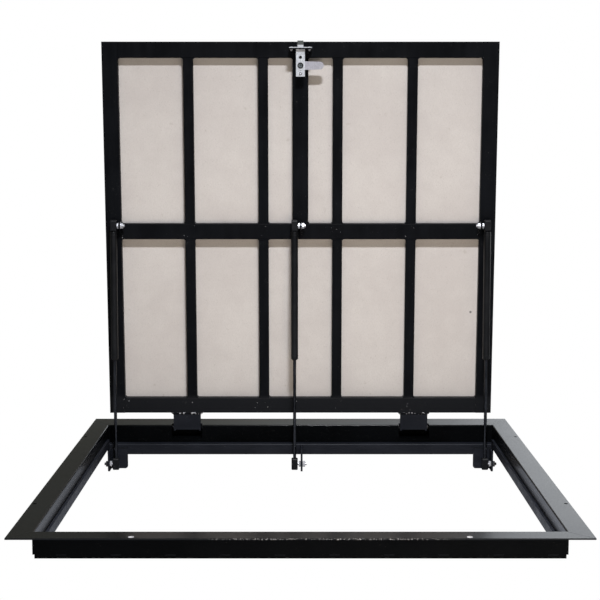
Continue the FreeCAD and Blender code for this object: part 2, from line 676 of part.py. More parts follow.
def lid_tab(name, low):
    """A plate under the middle rail with a round end about the upper stud."""
    body = new_body(name, turned_up)
    rail_rear = f"{LID_MIDDLE} - tube_w / 2"
    outline = [
        (rail_rear, LID_UNDER),
        (f"{rail_rear} + tab_w", LID_UNDER),
        (f"{TOP_BALL_A} + tab_r", TOP_BALL_B),
        (f"{TOP_BALL_A} - tab_r", TOP_BALL_B),
    ]
    high = f"{low} + tab_t"
    pad(body, "YZ", low, high, outline)
    pad(body, "YZ", low, high, circles=[(TOP_BALL_A, TOP_BALL_B, "tab_r")])
    pocket(body, "YZ", low, high, circles=[(TOP_BALL_A, TOP_BALL_B, "stud_d / 2")])


# Gas struts, drawn up the Z axis from the lower ball
def socket(name, middle, ball_z, neck_side, hollow):
    """A moulded ball socket, with its cavity where the ball sits in it."""
    body = new_body(name, along_strut, middle)
    half = "socket_w / 2"
    ends = [f"{ball_z} - socket_l / 2", f"{ball_z} + socket_l / 2"]
    pad(body, "YZ", f"-{half}", half, rectangle(f"-{half}", ends[0], half, ends[1]))
    fillet(body, "socket_r", at(Y=[f"-{half}", half], Z=ends))
    fillet(body, "socket_edge_r", at(X=[f"-{half}", half]))
    end = f"{ball_z} + ({neck_side}) * socket_l / 2"
    inner = f"{ball_z} + ({neck_side}) * (socket_l / 2 - neck_l)"
    low, high = (inner, end) if neck_side == "1" else (end, inner)
    pocket(body, "XY", low, high, circles=[("0", "0", "neck_d / 2 + pin_clear")])
    if hollow:
        before = body.Shape.Volume
        cavity = body.newObject("PartDesign::SubtractiveSphere", "BallSeat")
        cavity.Placement.Rotation = FreeCAD.Rotation(FreeCAD.Vector(0, 1, 0), 90)
        bind(cavity, Radius="ball_d / 2 + pin_clear")
        doc.recompute()
        if body.Shape.Volume >= before:
            raise ValueError(f"{name} has no ball seat")
        low, high = mirrored(hollow, "0", half)
        pocket(body, "YZ", low, high, circles=[("0", "0", "stud_d / 2 + seat_gap")])


def strut(label, middle, stud_side):
    rod = new_body(f"strut_rod_{label}", along_strut, middle)
    top = f"{TUBE_MOUTH} + piston_in"
    revolve(rod, [
        ("0", "socket_l / 2 - neck_l"),
        ("neck_d / 2", "socket_l / 2 - neck_l"),
        ("neck_d / 2", "socket_l / 2"),
        ("rod_d / 2", "socket_l / 2"),
        ("rod_d / 2", top),
        ("strut_bore_d / 2 - pin_clear", top),
        ("strut_bore_d / 2 - pin_clear", f"{top} + piston_l"),
        ("0", f"{top} + piston_l"),
    ])
    shell = new_body(f"strut_tube_{label}", along_strut, middle)
    end = f"{STRUT_L} - socket_l / 2"
    revolve(shell, [
        ("rod_d / 2 + pin_clear", TUBE_MOUTH),
        ("strut_tube_d / 2", TUBE_MOUTH),
        ("strut_tube_d / 2", end),
        ("neck_d / 2", end),
        ("neck_d / 2", f"{end} + neck_l"),
        ("0", f"{end} + neck_l"),
        ("0", f"{end} - strut_cap_l"),
        ("strut_bore_d / 2", f"{end} - strut_cap_l"),
        ("strut_bore_d / 2", f"{TUBE_MOUTH} + strut_guide_l"),
        ("rod_d / 2 + pin_clear", f"{TUBE_MOUTH} + strut_guide_l"),
    ])

    def rolled(edge):
        radius = getattr(edge.Curve, "Radius", 0)
        return abs(radius - number("strut_tube_d / 2")) < NEAR and len(edge.Vertexes) == 1
    fillet(shell, "(strut_tube_d - strut_bore_d) / 2", rolled)
    socket(f"socket_low_{label}", middle, "0", "1", stud_side)
    socket(f"socket_top_{label}", middle, STRUT_L, "-1", None)


# Latch, in the lid's own directions
def latch_mount():
    """The bracket that holds the latch off the lid and the face plate on it."""
    bracket = new_body("latch_bracket", turned_up)
    half = "plate_w / 2"
    low_b = f"{LATCH_B} - plate_d / 2"
    foot = rectangle(f"-{half}", f"{CASE_A} - brace_foot", half, f"{CASE_A} + brace_t")
    pad(bracket, "XY", f"{LID_UNDER} - brace_t", LID_UNDER, foot)
    leg = rectangle(f"-{half}", CASE_A, half, f"{CASE_A} + brace_t")
    pad(bracket, "XY", low_b, f"{LID_UNDER} - brace_t", leg)
    room_x = "case_w / 2 + case_clear"
    room_b = "case_h / 2 + case_clear"
    window = rectangle(f"-({room_x})", f"{LATCH_B} - ({room_b})", room_x, f"{LATCH_B} + {room_b}")
    pocket(bracket, "XZ", CASE_A, f"{CASE_A} + brace_t", window)
    holes = [(f"{side} * latch_screw_x", LATCH_B, "latch_screw_d / 2") for side in ("-1", "1")]
    pocket(bracket, "XZ", CASE_A, f"{CASE_A} + brace_t", circles=holes)

    plate = new_body("latch_face_plate", turned_up)
    outline = rectangle(f"-{half}", low_b, half, f"{LATCH_B} + plate_d / 2")
    pad(plate, "XZ", PLATE_A, CASE_A, outline, circles=holes)
    gap = "bolt_w / 2 + seat_gap"
    room = "bolt_t / 2 + seat_gap"
    opening = rectangle(f"-({gap})", f"{LATCH_B} - ({room})", gap, f"{LATCH_B} + ({room})")
    pocket(plate, "XZ", PLATE_A, CASE_A, opening)
    fillet(plate, "plate_t", at(X=[f"-{half}", half], Z=[low_b, f"{LATCH_B} + plate_d / 2"]))


def latch_screws():
    screws = []
    for side in ("-1", "1"):
        spot = f"{side} * latch_screw_x"
        shank = solid("Cylinder", (spot, PLATE_A, LATCH_B), False, Radius="latch_screw_d / 2",
                      Height="plate_t + brace_t + latch_nut_t + latch_screw_out")
        head = solid("Cylinder", (spot, f"{PLATE_A} - latch_head_t", LATCH_B), False,
                     Radius="latch_head_d / 2", Height="latch_head_t")
        nut = solid("Prism", (spot, f"{CASE_A} + brace_t", LATCH_B), False, Polygon="6",
                    Circumradius="latch_nut_w / 2", Height="latch_nut_t")
        for piece in (shank, head, nut):
            piece.Placement.Rotation = FreeCAD.Rotation(FreeCAD.Vector(1, 0, 0), -90)
        screws.append(fused([shank, head, nut]))
    group("latch_screws", screws, turned_up)


def latch_case():
    """A thin folded case, open towards the face plate, with a riveted end."""
    body = new_body("latch_case", turned_up)
    half_w = "case_w / 2"
    half_h = "case_h / 2"
    outer = rectangle(f"-{half_w}", f"{LATCH_B} - {half_h}", half_w, f"{LATCH_B} + {half_h}")
    pad(body, "XZ", CASE_A, CASE_END, outer)
    hollow = rectangle(f"-{half_w} + case_wall", f"{LATCH_B} - {half_h} + case_wall",
                       f"{half_w} - case_wall", f"{LATCH_B} + {half_h} - case_wall")
    pocket(body, "XZ", CASE_A, f"{CASE_END} - case_wall", hollow)
    low = f"{LATCH_B} - {half_h}"
    high = f"{LATCH_B} + {half_h}"
    pocket(body, "XY", low, high, circles=[("0", HUB_A, "hub_d / 2 + pin_clear")])
    pocket(body, "XY", low, LATCH_B, circles=[("0", f"{HUB_A} - eyelet_at", "eyelet_d / 2")])
    pad(body, "XY", f"{low} - case_wall", low, circles=[("0", f"{HUB_A} + eyelet_at", "eyelet_d / 2")])


def latch_lever():
    """The hub with its cam and square key hole, and the lever fixed on it."""
    hub = new_body("latch_hub", turned_up)
    low = f"{LATCH_B} - case_h / 2 - case_clear"
    high = f"{LEVER_LOW} + lever_t"
    pad(hub, "XY", low, high, circles=[("0", HUB_A, "hub_d / 2")])
    cam = rectangle("0", f"{HUB_A} - cam_w / 2", "cam_r", f"{HUB_A} + cam_w / 2")
    pad(hub, "XY", f"{LATCH_B} - tail_t / 2", f"{LATCH_B} + tail_t / 2", cam)
    key = rectangle("-key_w / 2", f"{HUB_A} - key_w / 2", "key_w / 2", f"{HUB_A} + key_w / 2")
    pocket(hub, "XY", low, LATCH_B, key)

    lever = new_body("latch_lever", turned_up)
    tip = "lever_l - lever_end_r"
    blade = [
        ("0", f"{HUB_A} - lever_w / 2"),
        (tip, f"{HUB_A} - lever_end_r"),
        (tip, f"{HUB_A} + lever_end_r"),
        ("0", f"{HUB_A} + lever_w / 2"),
    ]
    pad(lever, "XY", LEVER_LOW, high, blade)
    pad(lever, "XY", LEVER_LOW, high, circles=[(tip, HUB_A, "lever_end_r")])
    pad(lever, "XY", LEVER_LOW, high, circles=[("0", HUB_A, "lever_w / 2")])
    pocket(lever, "XY", LEVER_LOW, high, circles=[("0", HUB_A, "hub_d / 2")])


def latch_bolt():
    """The bevelled bolt and its tail: one arm, a cross bar and the cam's lug."""
    body = new_body("latch_bolt", turned_up)
    nose = f"{PLATE_A} - bolt_out"
    back = f"{HUB_A} - hub_d / 2 - case_clear - bolt_travel"
    top = f"{LATCH_B} + bolt_t / 2"
    bottom = f"{LATCH_B} - bolt_t / 2"
    outline = [
        (nose, top),
        (nose, f"{top} - bolt_nose"),
        (f"{nose} + bolt_bevel", bottom),
        (back, bottom),
        (back, top),
    ]
    pad(body, "YZ", "-bolt_w / 2", "bolt_w / 2", outline)
    room = "case_w / 2 - case_wall - case_clear"
    bar = f"{HUB_A} + hub_d / 2 + case_clear"
    lug = f"{HUB_A} + cam_w / 2 + cam_gap"
    tail = [
        (f"-({room})", f"{back} - tail_bar"),
        ("-bolt_w / 2 + tail_w", f"{back} - tail_bar"),
        (f"-({room}) + tail_w", back),
        (f"-({room}) + tail_w", bar),
        (f"{room} - tail_w", bar),
        (f"{room} - tail_w", lug),
        (room, lug),
        (room, f"{bar} + tail_bar"),
        (f"-({room})", f"{bar} + tail_bar"),
    ]
    pad(body, "XY", f"{LATCH_B} - tail_t / 2", f"{LATCH_B} + tail_t / 2", tail)


def latch_spring():
    """A compression spring between the bolt's tail and the end of the case."""
    start = f"{HUB_A} + hub_d / 2 + case_clear + tail_bar + wire_d / 2"
    length = f"({CASE_END} - case_wall - wire_d / 2) - ({start})"
    path = doc.addObject("Part::Helix", "SpringPath")
    bind(path, Pitch=f"({length}) / spring_turns", Height=length, Radius="(spring_d - wire_d) / 2")
    wire = doc.addObject("Part::Circle", "SpringWire")
    bind(wire, Radius="wire_d / 2", Placement__Base__x="(spring_d - wire_d) / 2")
    wire.Placement.Rotation = FreeCAD.Rotation(FreeCAD.Vector(1, 0, 0), 90)
    coil = doc.addObject("Part::Sweep", "SpringCoil")
    coil.Sections = [wire]
    coil.Spine = (path, [])
    coil.Solid = True
    coil.Frenet = True
    lying = f"placement(vector(0; {start}; {LATCH_B}); rotation(vector(1; 0; 0); -90))"
    bind(coil, Placement=lying)
    group("latch_spring", [coil], turned_up)


frame_front()
frame_side("frame_left", "-1")
frame_side("frame_right", "1")
frame_rear()
ledges()
tube("rear_beam", "YZ", f"-{WALL_X}", WALL_X, BEAM_Y, "-rear_leg_d", "rear_wall_y", "-rear_leg_d + beam_h",
     "beam_wall", "beam_r")
hinge_pocket("hinge_pocket_left", "-1")
hinge_pocket("hinge_pocket_right", "1")
hinge_pins()
hinge_washers()
strut_bracket("strut_bracket_left", "-1")
strut_bracket("strut_bracket_right", "1")
centre_bracket()
lower_studs()

lid_frame()
tile_board()
board_screws()
hinge_arm("hinge_arm_left", "-1")
hinge_arm("hinge_arm_right", "1")
lid_tab("lid_tab_left", f"-{TAB_X}")
lid_tab("lid_tab_right", f"{TAB_X} - tab_t")
lid_tab("lid_tab_centre", "-mid_strut_x + tab_in")
upper_studs()

strut("left", f"-{STRUT_X}", "-1")
strut("right", STRUT_X, "1")
strut("centre", "-mid_strut_x", "1")

latch_mount()
latch_screws()
latch_case()
latch_lever()
latch_bolt()
latch_spring()
doc.recompute()

# Nothing is written unless every object is sound
for thing in doc.Objects:
    if "Invalid" in thing.State or "Error" in thing.State:
        raise ValueError(f"{thing.Label} failed: {thing.State}")
for node in nodes:
    if node.Shape.isNull() or not node.Shape.isValid():
        raise ValueError(f"{node.Label} has no valid shape")

os.makedirs("parts", exist_ok=True)
for node in nodes:
    node.Shape.exportStep(f"parts/{node.Label}.step")
    print(node.Label, round(node.Shape.Volume / 1000, 1), "cm3")
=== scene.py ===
# %% [markdown]
# This lesson dresses a recessed paving cover: a flanged steel frame for the
# ground and a hinged lid that stands open on three gas struts. The packed
# model gives every rigid piece at its real size. What is left is the look of
# brushed-on primer, welds, fibre board, plated fittings and polished rods.

# %% Load the frame and keep its box
import json
import math
import random

import bmesh
import bpy
from mathutils import Matrix, Vector


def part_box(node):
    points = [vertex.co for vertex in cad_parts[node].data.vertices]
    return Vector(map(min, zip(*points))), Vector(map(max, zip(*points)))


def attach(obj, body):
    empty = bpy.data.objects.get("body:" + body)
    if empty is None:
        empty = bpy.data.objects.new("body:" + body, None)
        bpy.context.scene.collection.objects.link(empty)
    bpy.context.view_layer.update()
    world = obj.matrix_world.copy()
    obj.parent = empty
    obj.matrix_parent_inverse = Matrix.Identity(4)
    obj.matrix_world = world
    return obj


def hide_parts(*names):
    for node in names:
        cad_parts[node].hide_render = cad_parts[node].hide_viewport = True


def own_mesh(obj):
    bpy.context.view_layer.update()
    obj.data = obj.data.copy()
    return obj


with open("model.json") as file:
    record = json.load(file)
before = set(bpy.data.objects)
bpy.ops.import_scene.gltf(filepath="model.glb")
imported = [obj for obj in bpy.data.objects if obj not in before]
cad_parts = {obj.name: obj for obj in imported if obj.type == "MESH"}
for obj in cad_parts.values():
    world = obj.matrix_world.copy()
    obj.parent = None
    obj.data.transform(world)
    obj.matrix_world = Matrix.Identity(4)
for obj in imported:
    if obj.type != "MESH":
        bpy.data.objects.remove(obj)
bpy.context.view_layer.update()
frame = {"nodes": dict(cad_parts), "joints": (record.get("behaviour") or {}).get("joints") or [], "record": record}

nodes = frame["nodes"]


# %% [markdown]
# Everything on the lid leans with it. The hinge joint in the record gives the
# axis, and the lid's own directions follow from the opening angle: one runs
# from the hinge to the free edge, the other stands out of the underside.

# %% The lid's own directions
hinge = next(joint for joint in frame["joints"] if joint["name"] == "lid_hinge")
HINGE = Vector(hinge["pos_m"])
OPEN_ANGLE = math.radians(hinge["range_deg"][1])
ALONG = Vector((0, -math.cos(OPEN_ANGLE), math.sin(OPEN_ANGLE)))
OUT = Vector((0, -math.sin(OPEN_ANGLE), -math.cos(OPEN_ANGLE)))


def on_lid(x, along, out):
    """A place by its distance from the hinge axis and out of the underside."""
    return HINGE + Vector((x, 0, 0)) + ALONG * along + OUT * out


print("lid leans", round(90 - math.degrees(OPEN_ANGLE), 2), "degrees")


# %% [markdown]
# The camera stands where the photographer stood: about 2.9 m in front of the
# frame's middle and 0.7 m above the flange, tilted down a little. Its focal
# length in pixels becomes a lens length for a 36 mm sensor.

# %% Camera
IMAGE_WIDTH = 600
FOCAL_PIXELS = 1306.1
CENTRE_OFFSET = 0.44
SENSOR = 36.0
CAMERA_PLACE = (0, -2.8912, 0.7064)
LOOKS_DOWN = math.radians(6.46)
camera_data = bpy.data.cameras.new("camera")
camera_data.sensor_width = SENSOR
camera_data.lens = FOCAL_PIXELS / IMAGE_WIDTH * SENSOR
camera_data.shift_x = -CENTRE_OFFSET / IMAGE_WIDTH
camera = bpy.data.objects.new("camera", camera_data)
camera.location = CAMERA_PLACE
camera.rotation_euler = (math.pi / 2 - LOOKS_DOWN, 0, 0)
bpy.context.scene.collection.objects.link(camera)
bpy.context.scene.camera = camera
bpy.context.scene.view_settings.view_transform = "Standard"
print("lens", round(camera_data.lens, 1), "mm")


# %% [markdown]
# Shader maths reads best as plain expressions. This small class wraps a
# socket, so that adding or multiplying two wrapped sockets makes a Math node.

# %% A wrapper for shader sockets
class Wire:
    """A socket of one node tree that takes part in Python arithmetic."""

    def __init__(self, tree, socket):
        self.tree = tree
        self.socket = socket

    def node(self, kind, settings=None, output=0, **inputs):
        """Add a node: settings first, then values or wires for its inputs."""
        made = self.tree.nodes.new(kind)
        for key, value in (settings or {}).items():
            setattr(made, key, value)
        for key, value in inputs.items():
            numbered = key[0] == "_" and key[1:].isdigit()
            place = int(key[1:]) if numbered else key.replace("_", " ")
            self.plug(made.inputs[place], value)
        return Wire(self.tree, made.outputs[output])

    def sibling(self, output):
        """Another output of the node that this wire leaves."""
        return Wire(self.tree, self.socket.node.outputs[output])

    def plug(self, socket, value):
        """Link a wire to a socket, or set the socket; a colour gets its alpha."""
        if isinstance(value, Wire):
            self.tree.links.new(value.socket, socket)
        elif isinstance(value, tuple) and len(value) == 3 and socket.type == "RGBA":
            socket.default_value = (*value, 1)
        else:
            socket.default_value = value

    def math(self, operation, *values):
        inputs = {f"_{index}": value for index, value in enumerate(values)}
        return self.node("ShaderNodeMath", {"operation": operation}, **inputs)

    def __add__(self, other):
        return self.math("ADD", self, other)

    def __radd__(self, other):
        return self.math("ADD", other, self)

    def __sub__(self, other):
        return self.math("SUBTRACT", self, other)

    def __rsub__(self, other):
        return self.math("SUBTRACT", other, self)

    def __mul__(self, other):
        return self.math("MULTIPLY", self, other)

    def __rmul__(self, other):
        return self.math("MULTIPLY", other, self)

    def between(self, low, high):
        """0 below low, 1 above high and smooth from one to the other."""
        return self.node("ShaderNodeMapRange", {"interpolation_type": "SMOOTHSTEP"},
                         Value=self, From_Min=low, From_Max=high)

    def blend(self, first, second):
        """Mix two colours by this value."""
        return self.node("ShaderNodeMix", {"data_type": "RGBA"}, 2, _0=self, _6=first, _7=second)


def new_material(name):
    """A material with a bare Principled shader, and a wire that starts it."""
    material = bpy.data.materials.new(name)
    material.use_nodes = True
    shader = material.node_tree.nodes["Principled BSDF"]
    start = Wire(material.node_tree, None)
    where = start.node("ShaderNodeTexCoord", output=3)
    return material, shader, where


def noise(where, scale, detail=3.0, roughness=0.55):
    """Soft noise; its spots are about one metre divided by the scale."""
    return where.node("ShaderNodeTexNoise", Vector=where, Scale=scale, Detail=detail,
                      Roughness=roughness)


def distance(where, point):
    """How far the shaded place is from a point."""
    return where.node("ShaderNodeVectorMath", {"operation": "DISTANCE"}, 1, _0=where, _1=point)


def stretch(where, x, y, z):
    """The same coordinates with each axis scaled, for streaks."""
    return where.node("ShaderNodeVectorMath", {"operation": "MULTIPLY"}, _0=where, _1=(x, y, z))


def set_shader(shader, where, **values):
    """Set or link the sockets of the Principled shader by their names."""
    for key, value in values.items():
        where.plug(shader.inputs[key.replace("_", " ")], value)


def bump(where, shader, height, strength, depth):
    """Turn a height pattern into the shader's surface direction."""
    surface = where.node("ShaderNodeBump", Height=height, Strength=strength, Distance=depth)
    where.plug(shader.inputs["Normal"], surface)


print("shader helpers ready")


# %% [markdown]
# The lid is a grid of square tubes under one thin coat of blue-black primer.
# A brush leaves faint streaks, a fine grain and some dust. The real coat is
# very dark and only half glossy, so the colour is a few thousandths and the
# specular level is low; the streaks change its roughness more than its tone.
# The lid's hinge rail, lowest on the open lid, is painted paler for the light it catches from below: painted
# light.

# %% Primer of the lid and of the frame's bars
def primer(name, tone, pale, streak, gloss, shine, lit_from_below=0.0):
    """Brushed primer; lit_from_below is the strength of the painted light low on the lid."""
    material, shader, where = new_material(name)
    place = where.node("ShaderNodeSeparateXYZ", Vector=where)
    painted_low_light = place.sibling(2).between(0.080, 0.068) * lit_from_below
    clouds = noise(where, 9.0, 4.0)
    brushed = noise(stretch(where, *streak), 60.0, 3.0)
    grain = noise(where, 900.0, 2.0)
    dust_spots = noise(where, 31.0, 2.0).between(0.50, 0.64)
    specks = noise(where, 420.0, 1.0, 0.4).between(0.71, 0.77) * dust_spots
    wear = (clouds * 0.55 + brushed * 0.45).between(0.35, 0.68)
    colour = wear.blend(tone, pale)
    # The low part of the lid is blended to a paler tone: painted light from below.
    colour = painted_low_light.blend(colour, (0.0115, 0.0124, 0.0146))
    colour = (specks * 0.35).blend(colour, (0.16, 0.16, 0.16))
    low, high = gloss
    roughness = wear * (high - low) + low + grain * 0.06
    set_shader(shader, where, Base_Color=colour, Roughness=roughness, Specular_IOR_Level=shine)
    bump(where, shader, grain * 0.35 + brushed * 0.4 + specks, 0.22, 0.0004)
    return material


lid_primer = primer("lid primer", (0.0023, 0.0027, 0.0036), (0.0048, 0.0055, 0.0071),
                    (1.0, 1.0, 0.12), (0.36, 0.52), 0.08, lit_from_below=0.85)
bar_primer = primer("bar primer", (0.0078, 0.0090, 0.0128), (0.0145, 0.0165, 0.0225),
                    (0.15, 1.0, 1.0), (0.32, 0.48), 0.16)
print("tube primers made")


# %% [markdown]
# The frame's folded sheets have the same coat, but their flanges lie flat and are seen at a low angle, where even
# black paint mirrors its surroundings. A clear coat on the flange alone gives that sheen. Round the drilled holes
# the paint has rubbed off, and bare steel shows as bright rings. Along the near edge, bright steel dots are a
# painted highlight of the edge. Object coordinates tell the flange, its edge and the holes apart.

# %% Primer of the frame's sheets
FLANGE_EDGE_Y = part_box("frame_front")[0][1]
END_HOLE_Y = FLANGE_EDGE_Y + 0.009
HALF_HOLE_GAP = 0.313
FLANGE_GLOSS = 0.31


def sheet_primer(name, wall_gloss):
    """Primer that knows the flange, its near edge and the holes by their place."""
    material, shader, where = new_material(name)
    across = where.node("ShaderNodeSeparateXYZ", Vector=where)
    depth = across.sibling(1)
    height = across.sibling(2)
    flange = height.between(-0.0034, -0.0028)
    clouds = noise(where, 7.0, 4.0)
    grain = noise(where, 1100.0, 2.0)
    dents = noise(where, 38.0, 3.0)
    dots = noise(stretch(where, 1.0, 0.4, 0.4), 620.0, 2.0, 0.5)
    # In this stretch of the near edge, bright steel dots are a painted highlight of the edge.
    highlight_stretch = across.between(-0.20, -0.08) * across.between(0.30, 0.20)
    rim = flange * (FLANGE_EDGE_Y + 0.0006 - depth).between(-0.0003, 0.0003) * highlight_stretch
    rubbed = rim * dots.between(0.56, 0.64) * 0.50
    for x in (-HALF_HOLE_GAP, HALF_HOLE_GAP):
        away = distance(where, (x, END_HOLE_Y, 0.0))
        rubbed = rubbed.math("MAXIMUM", rubbed, away.between(0.0060, 0.0046) * flange)
    specks = noise(where, 500.0, 1.0, 0.4).between(0.73, 0.79)
    colour = clouds.between(0.3, 0.7).blend((0.0007, 0.0009, 0.0011), (0.0016, 0.0020, 0.0025))
    colour = (specks * 0.25).blend(colour, (0.10, 0.10, 0.10))
    # Bright steel: painted highlight dots on the near edge, and rubbed bare rings round the holes.
    colour = rubbed.blend(colour, (0.56, 0.56, 0.58))
    upper_wall = (1.0 - flange) * height.between(-0.034, -0.008)
    gloss = flange * FLANGE_GLOSS + upper_wall * wall_gloss
    set_shader(shader, where, Base_Color=colour, Roughness=0.42 + clouds * 0.1,
               Metallic=rubbed * 0.3, Specular_IOR_Level=0.04,
               Coat_Weight=gloss * (1.0 - rubbed), Coat_Roughness=0.2)
    bump(where, shader, grain * 0.3 + dents * 0.9, 0.16, 0.0005)
    return material


sheet_finish = sheet_primer("sheet primer", 0.0)
left_side_finish = sheet_primer("left side primer", 0.55)
right_side_finish = sheet_primer("right side primer", 0.70)
print("sheet primer made")


# %% [markdown]
# The board is cement-bonded fibre board: a pale, warm grey with fine fibres
# and sand grains, large soft clouds from mixing and drying, a few dark grains
# and one dark knot in the lower right panel. It is a little dirtier along the
# hinge rail, where water runs down the open lid.

# %% Fibre board
KNOT = on_lid(0.441, 0.3054, 0.002)


def fibre_board():
    material, shader, where = new_material("fibre board")
    clouds = noise(where, 4.0, 3.0)
    mottle = noise(where, 28.0, 3.0)
    fibres = noise(stretch(where, 1.0, 1.0, 0.45), 420.0, 4.0, 0.7)
    sand = noise(where, 1500.0, 2.0)
    dark_grains = noise(where, 640.0, 1.0, 0.3).between(0.68, 0.76)
    stains = noise(where, 55.0, 2.0, 0.4).between(0.71, 0.78)
    place = where.node("ShaderNodeSeparateXYZ", Vector=where)
    height = place.sibling(2)
    mixing = (clouds * 0.7 + mottle * 0.3).between(0.33, 0.67)
    colour = mixing.blend((0.60, 0.565, 0.545), (0.665, 0.635, 0.61))
    colour = (fibres.between(0.35, 0.7) * 0.32).blend(colour, (0.50, 0.47, 0.445))
    colour = (dark_grains * 0.45).blend(colour, (0.27, 0.24, 0.22))
    colour = (stains * 0.35).blend(colour, (0.42, 0.38, 0.34))
    colour = (height.between(0.12, 0.03) * clouds * 0.5).blend(colour, (0.44, 0.42, 0.40))
    away = distance(where, KNOT)
    knot = (away + mottle * 0.003).between(0.0060, 0.0038) * 0.85
    colour = knot.blend(colour, (0.085, 0.085, 0.09))
    set_shader(shader, where, Base_Color=colour, Roughness=0.86 + clouds * 0.08,
               Specular_IOR_Level=0.3)
    bump(where, shader, fibres * 0.6 + sand * 0.4, 0.30, 0.0005)
    return material


board_finish = fibre_board()
print("board finish made, knot at", tuple(round(value, 3) for value in KNOT))


# %% [markdown]
# The struts are gloss black tubes on dark, hard-chromed rods with an oil film.
# The ball sockets are black die castings that shine where they were handled.

# %% Strut finishes
def gloss_black():
    material, shader, where = new_material("strut black")
    clouds = noise(where, 30.0, 3.0)
    dust = noise(where, 600.0, 2.0, 0.5).between(0.66, 0.74) * 0.15
    colour = clouds.between(0.35, 0.7).blend((0.0028, 0.0030, 0.0034), (0.0060, 0.0063, 0.0070))
    colour = dust.blend(colour, (0.20, 0.20, 0.20))
    set_shader(shader, where, Base_Color=colour, Roughness=0.30 + clouds * 0.16,
               Specular_IOR_Level=0.35)
    bump(where, shader, noise(where, 260.0, 2.0), 0.08, 0.0003)
    return material


def rod_steel():
    material, shader, where = new_material("rod steel")
    lines = noise(stretch(where, 1.0, 1.0, 0.02), 900.0, 2.0)
    film = noise(where, 24.0, 3.0)
    sheen = (lines * 0.6 + film * 0.4).between(0.35, 0.65)
    colour = sheen.blend((0.028, 0.029, 0.032), (0.070, 0.072, 0.078))
    set_shader(shader, where, Base_Color=colour, Metallic=1.0, Roughness=0.16 + lines * 0.14)
    return material


def cast_socket():
    material, shader, where = new_material("cast socket")
    pits = noise(where, 520.0, 3.0)
    worn = noise(where, 70.0, 3.0).between(0.52, 0.75)
    colour = worn.blend((0.0048, 0.0050, 0.0058), (0.017, 0.017, 0.020))
    set_shader(shader, where, Base_Color=colour, Roughness=0.40 + pits * 0.2,
               Specular_IOR_Level=0.25)
    bump(where, shader, pits, 0.25, 0.0004)
    return material


# This black rubber also colours dark pieces that are painted shade on the latch and in the board screws' recesses.
def rubber():
    material, shader, where = new_material("rubber and painted shade")
    grain = noise(where, 800.0, 2.0)
    colour = grain.between(0.35, 0.65).blend((0.006, 0.006, 0.006), (0.014, 0.014, 0.014))
    set_shader(shader, where, Base_Color=colour, Roughness=0.66 + grain * 0.16,
               Specular_IOR_Level=0.3)
    bump(where, shader, grain, 0.2, 0.0002)
    return material


strut_black = gloss_black()
polished_rod = rod_steel()
socket_cast = cast_socket()
rubber_and_shade = rubber()
print("strut finishes made")


# %% [markdown]
# The latch is zinc plated: a cool, pale grey with a faint spangle and fine scratches. Its lever is a little whiter
# and its hub is darker sintered steel. The bolt is oiled steel, bright on its square part where it runs in the
# face plate; its nose past the plate is painted dark: painted shade.

# %% Latch and fastener finishes
PLATE_ALONG = 0.979


def zinc(name, tone, pale, metallic, low):
    """Zinc plate; low is its roughness where it is smoothest."""
    material, shader, where = new_material(name)
    spangle = where.node("ShaderNodeTexVoronoi", {"feature": "F1"}, 1, Vector=where, Scale=420.0)
    patches = where.node("ShaderNodeRGBToBW", Color=spangle)
    scratches = noise(stretch(where, 1.0, 0.2, 0.12), 700.0, 3.0)
    spots = noise(where, 300.0, 2.0, 0.6).between(0.64, 0.74)
    colour = (patches * 0.45 + scratches * 0.55).between(0.3, 0.75).blend(tone, pale)
    colour = (spots * 0.4).blend(colour, tuple(value * 0.45 for value in tone))
    set_shader(shader, where, Base_Color=colour, Metallic=metallic,
               Roughness=low + patches * 0.10 + scratches * 0.08)
    bump(where, shader, scratches, 0.10, 0.0002)
    return material


def outboard_zinc():
    """Fastener zinc, painted dark outboard of the side brackets, where shade falls: painted shade."""
    material, shader, where = new_material("stud zinc")
    across = where.node("ShaderNodeSeparateXYZ", Vector=where)
    shaded_outboard = across.math("ABSOLUTE", across).between(0.4905, 0.4930)
    grain = noise(where, 500.0, 3.0)
    colour = grain.between(0.3, 0.7).blend((0.52, 0.53, 0.56), (0.82, 0.83, 0.86))
    # Outboard of the brackets the nuts are painted dark: painted shade.
    colour = shaded_outboard.blend(colour, (0.055, 0.055, 0.060))
    set_shader(shader, where, Base_Color=colour, Metallic=(1.0 - shaded_outboard) * 0.5,
               Roughness=0.30 + grain * 0.16)
    bump(where, shader, grain, 0.1, 0.0002)
    return material


def bolt_steel():
    material, shader, where = new_material("bolt steel")
    projected = {"operation": "DOT_PRODUCT"}
    along = where.node("ShaderNodeVectorMath", projected, 1, _0=where, _1=ALONG) - HINGE.dot(ALONG)
    # Past the face plate the bolt's nose is painted dark: painted shade.
    bevel = along.between(PLATE_ALONG + 0.0045, PLATE_ALONG + 0.0060)
    scratches = noise(stretch(where, 0.2, 1.0, 1.0), 800.0, 3.0)
    colour = scratches.between(0.3, 0.7).blend((0.60, 0.61, 0.62), (0.80, 0.80, 0.81))
    colour = bevel.blend(colour, (0.036, 0.041, 0.034))
    set_shader(shader, where, Base_Color=colour, Metallic=(1.0 - bevel) * 0.35,
               Roughness=0.38 + scratches * 0.12, Specular_IOR_Level=0.2)
    bump(where, shader, scratches, 0.10, 0.0002)
    return material


latch_zinc = zinc("latch zinc", (0.54, 0.57, 0.615), (0.78, 0.81, 0.86), 0.28, 0.36)
lever_zinc = zinc("lever zinc", (0.385, 0.385, 0.432), (0.485, 0.485, 0.54), 0.2, 0.42)
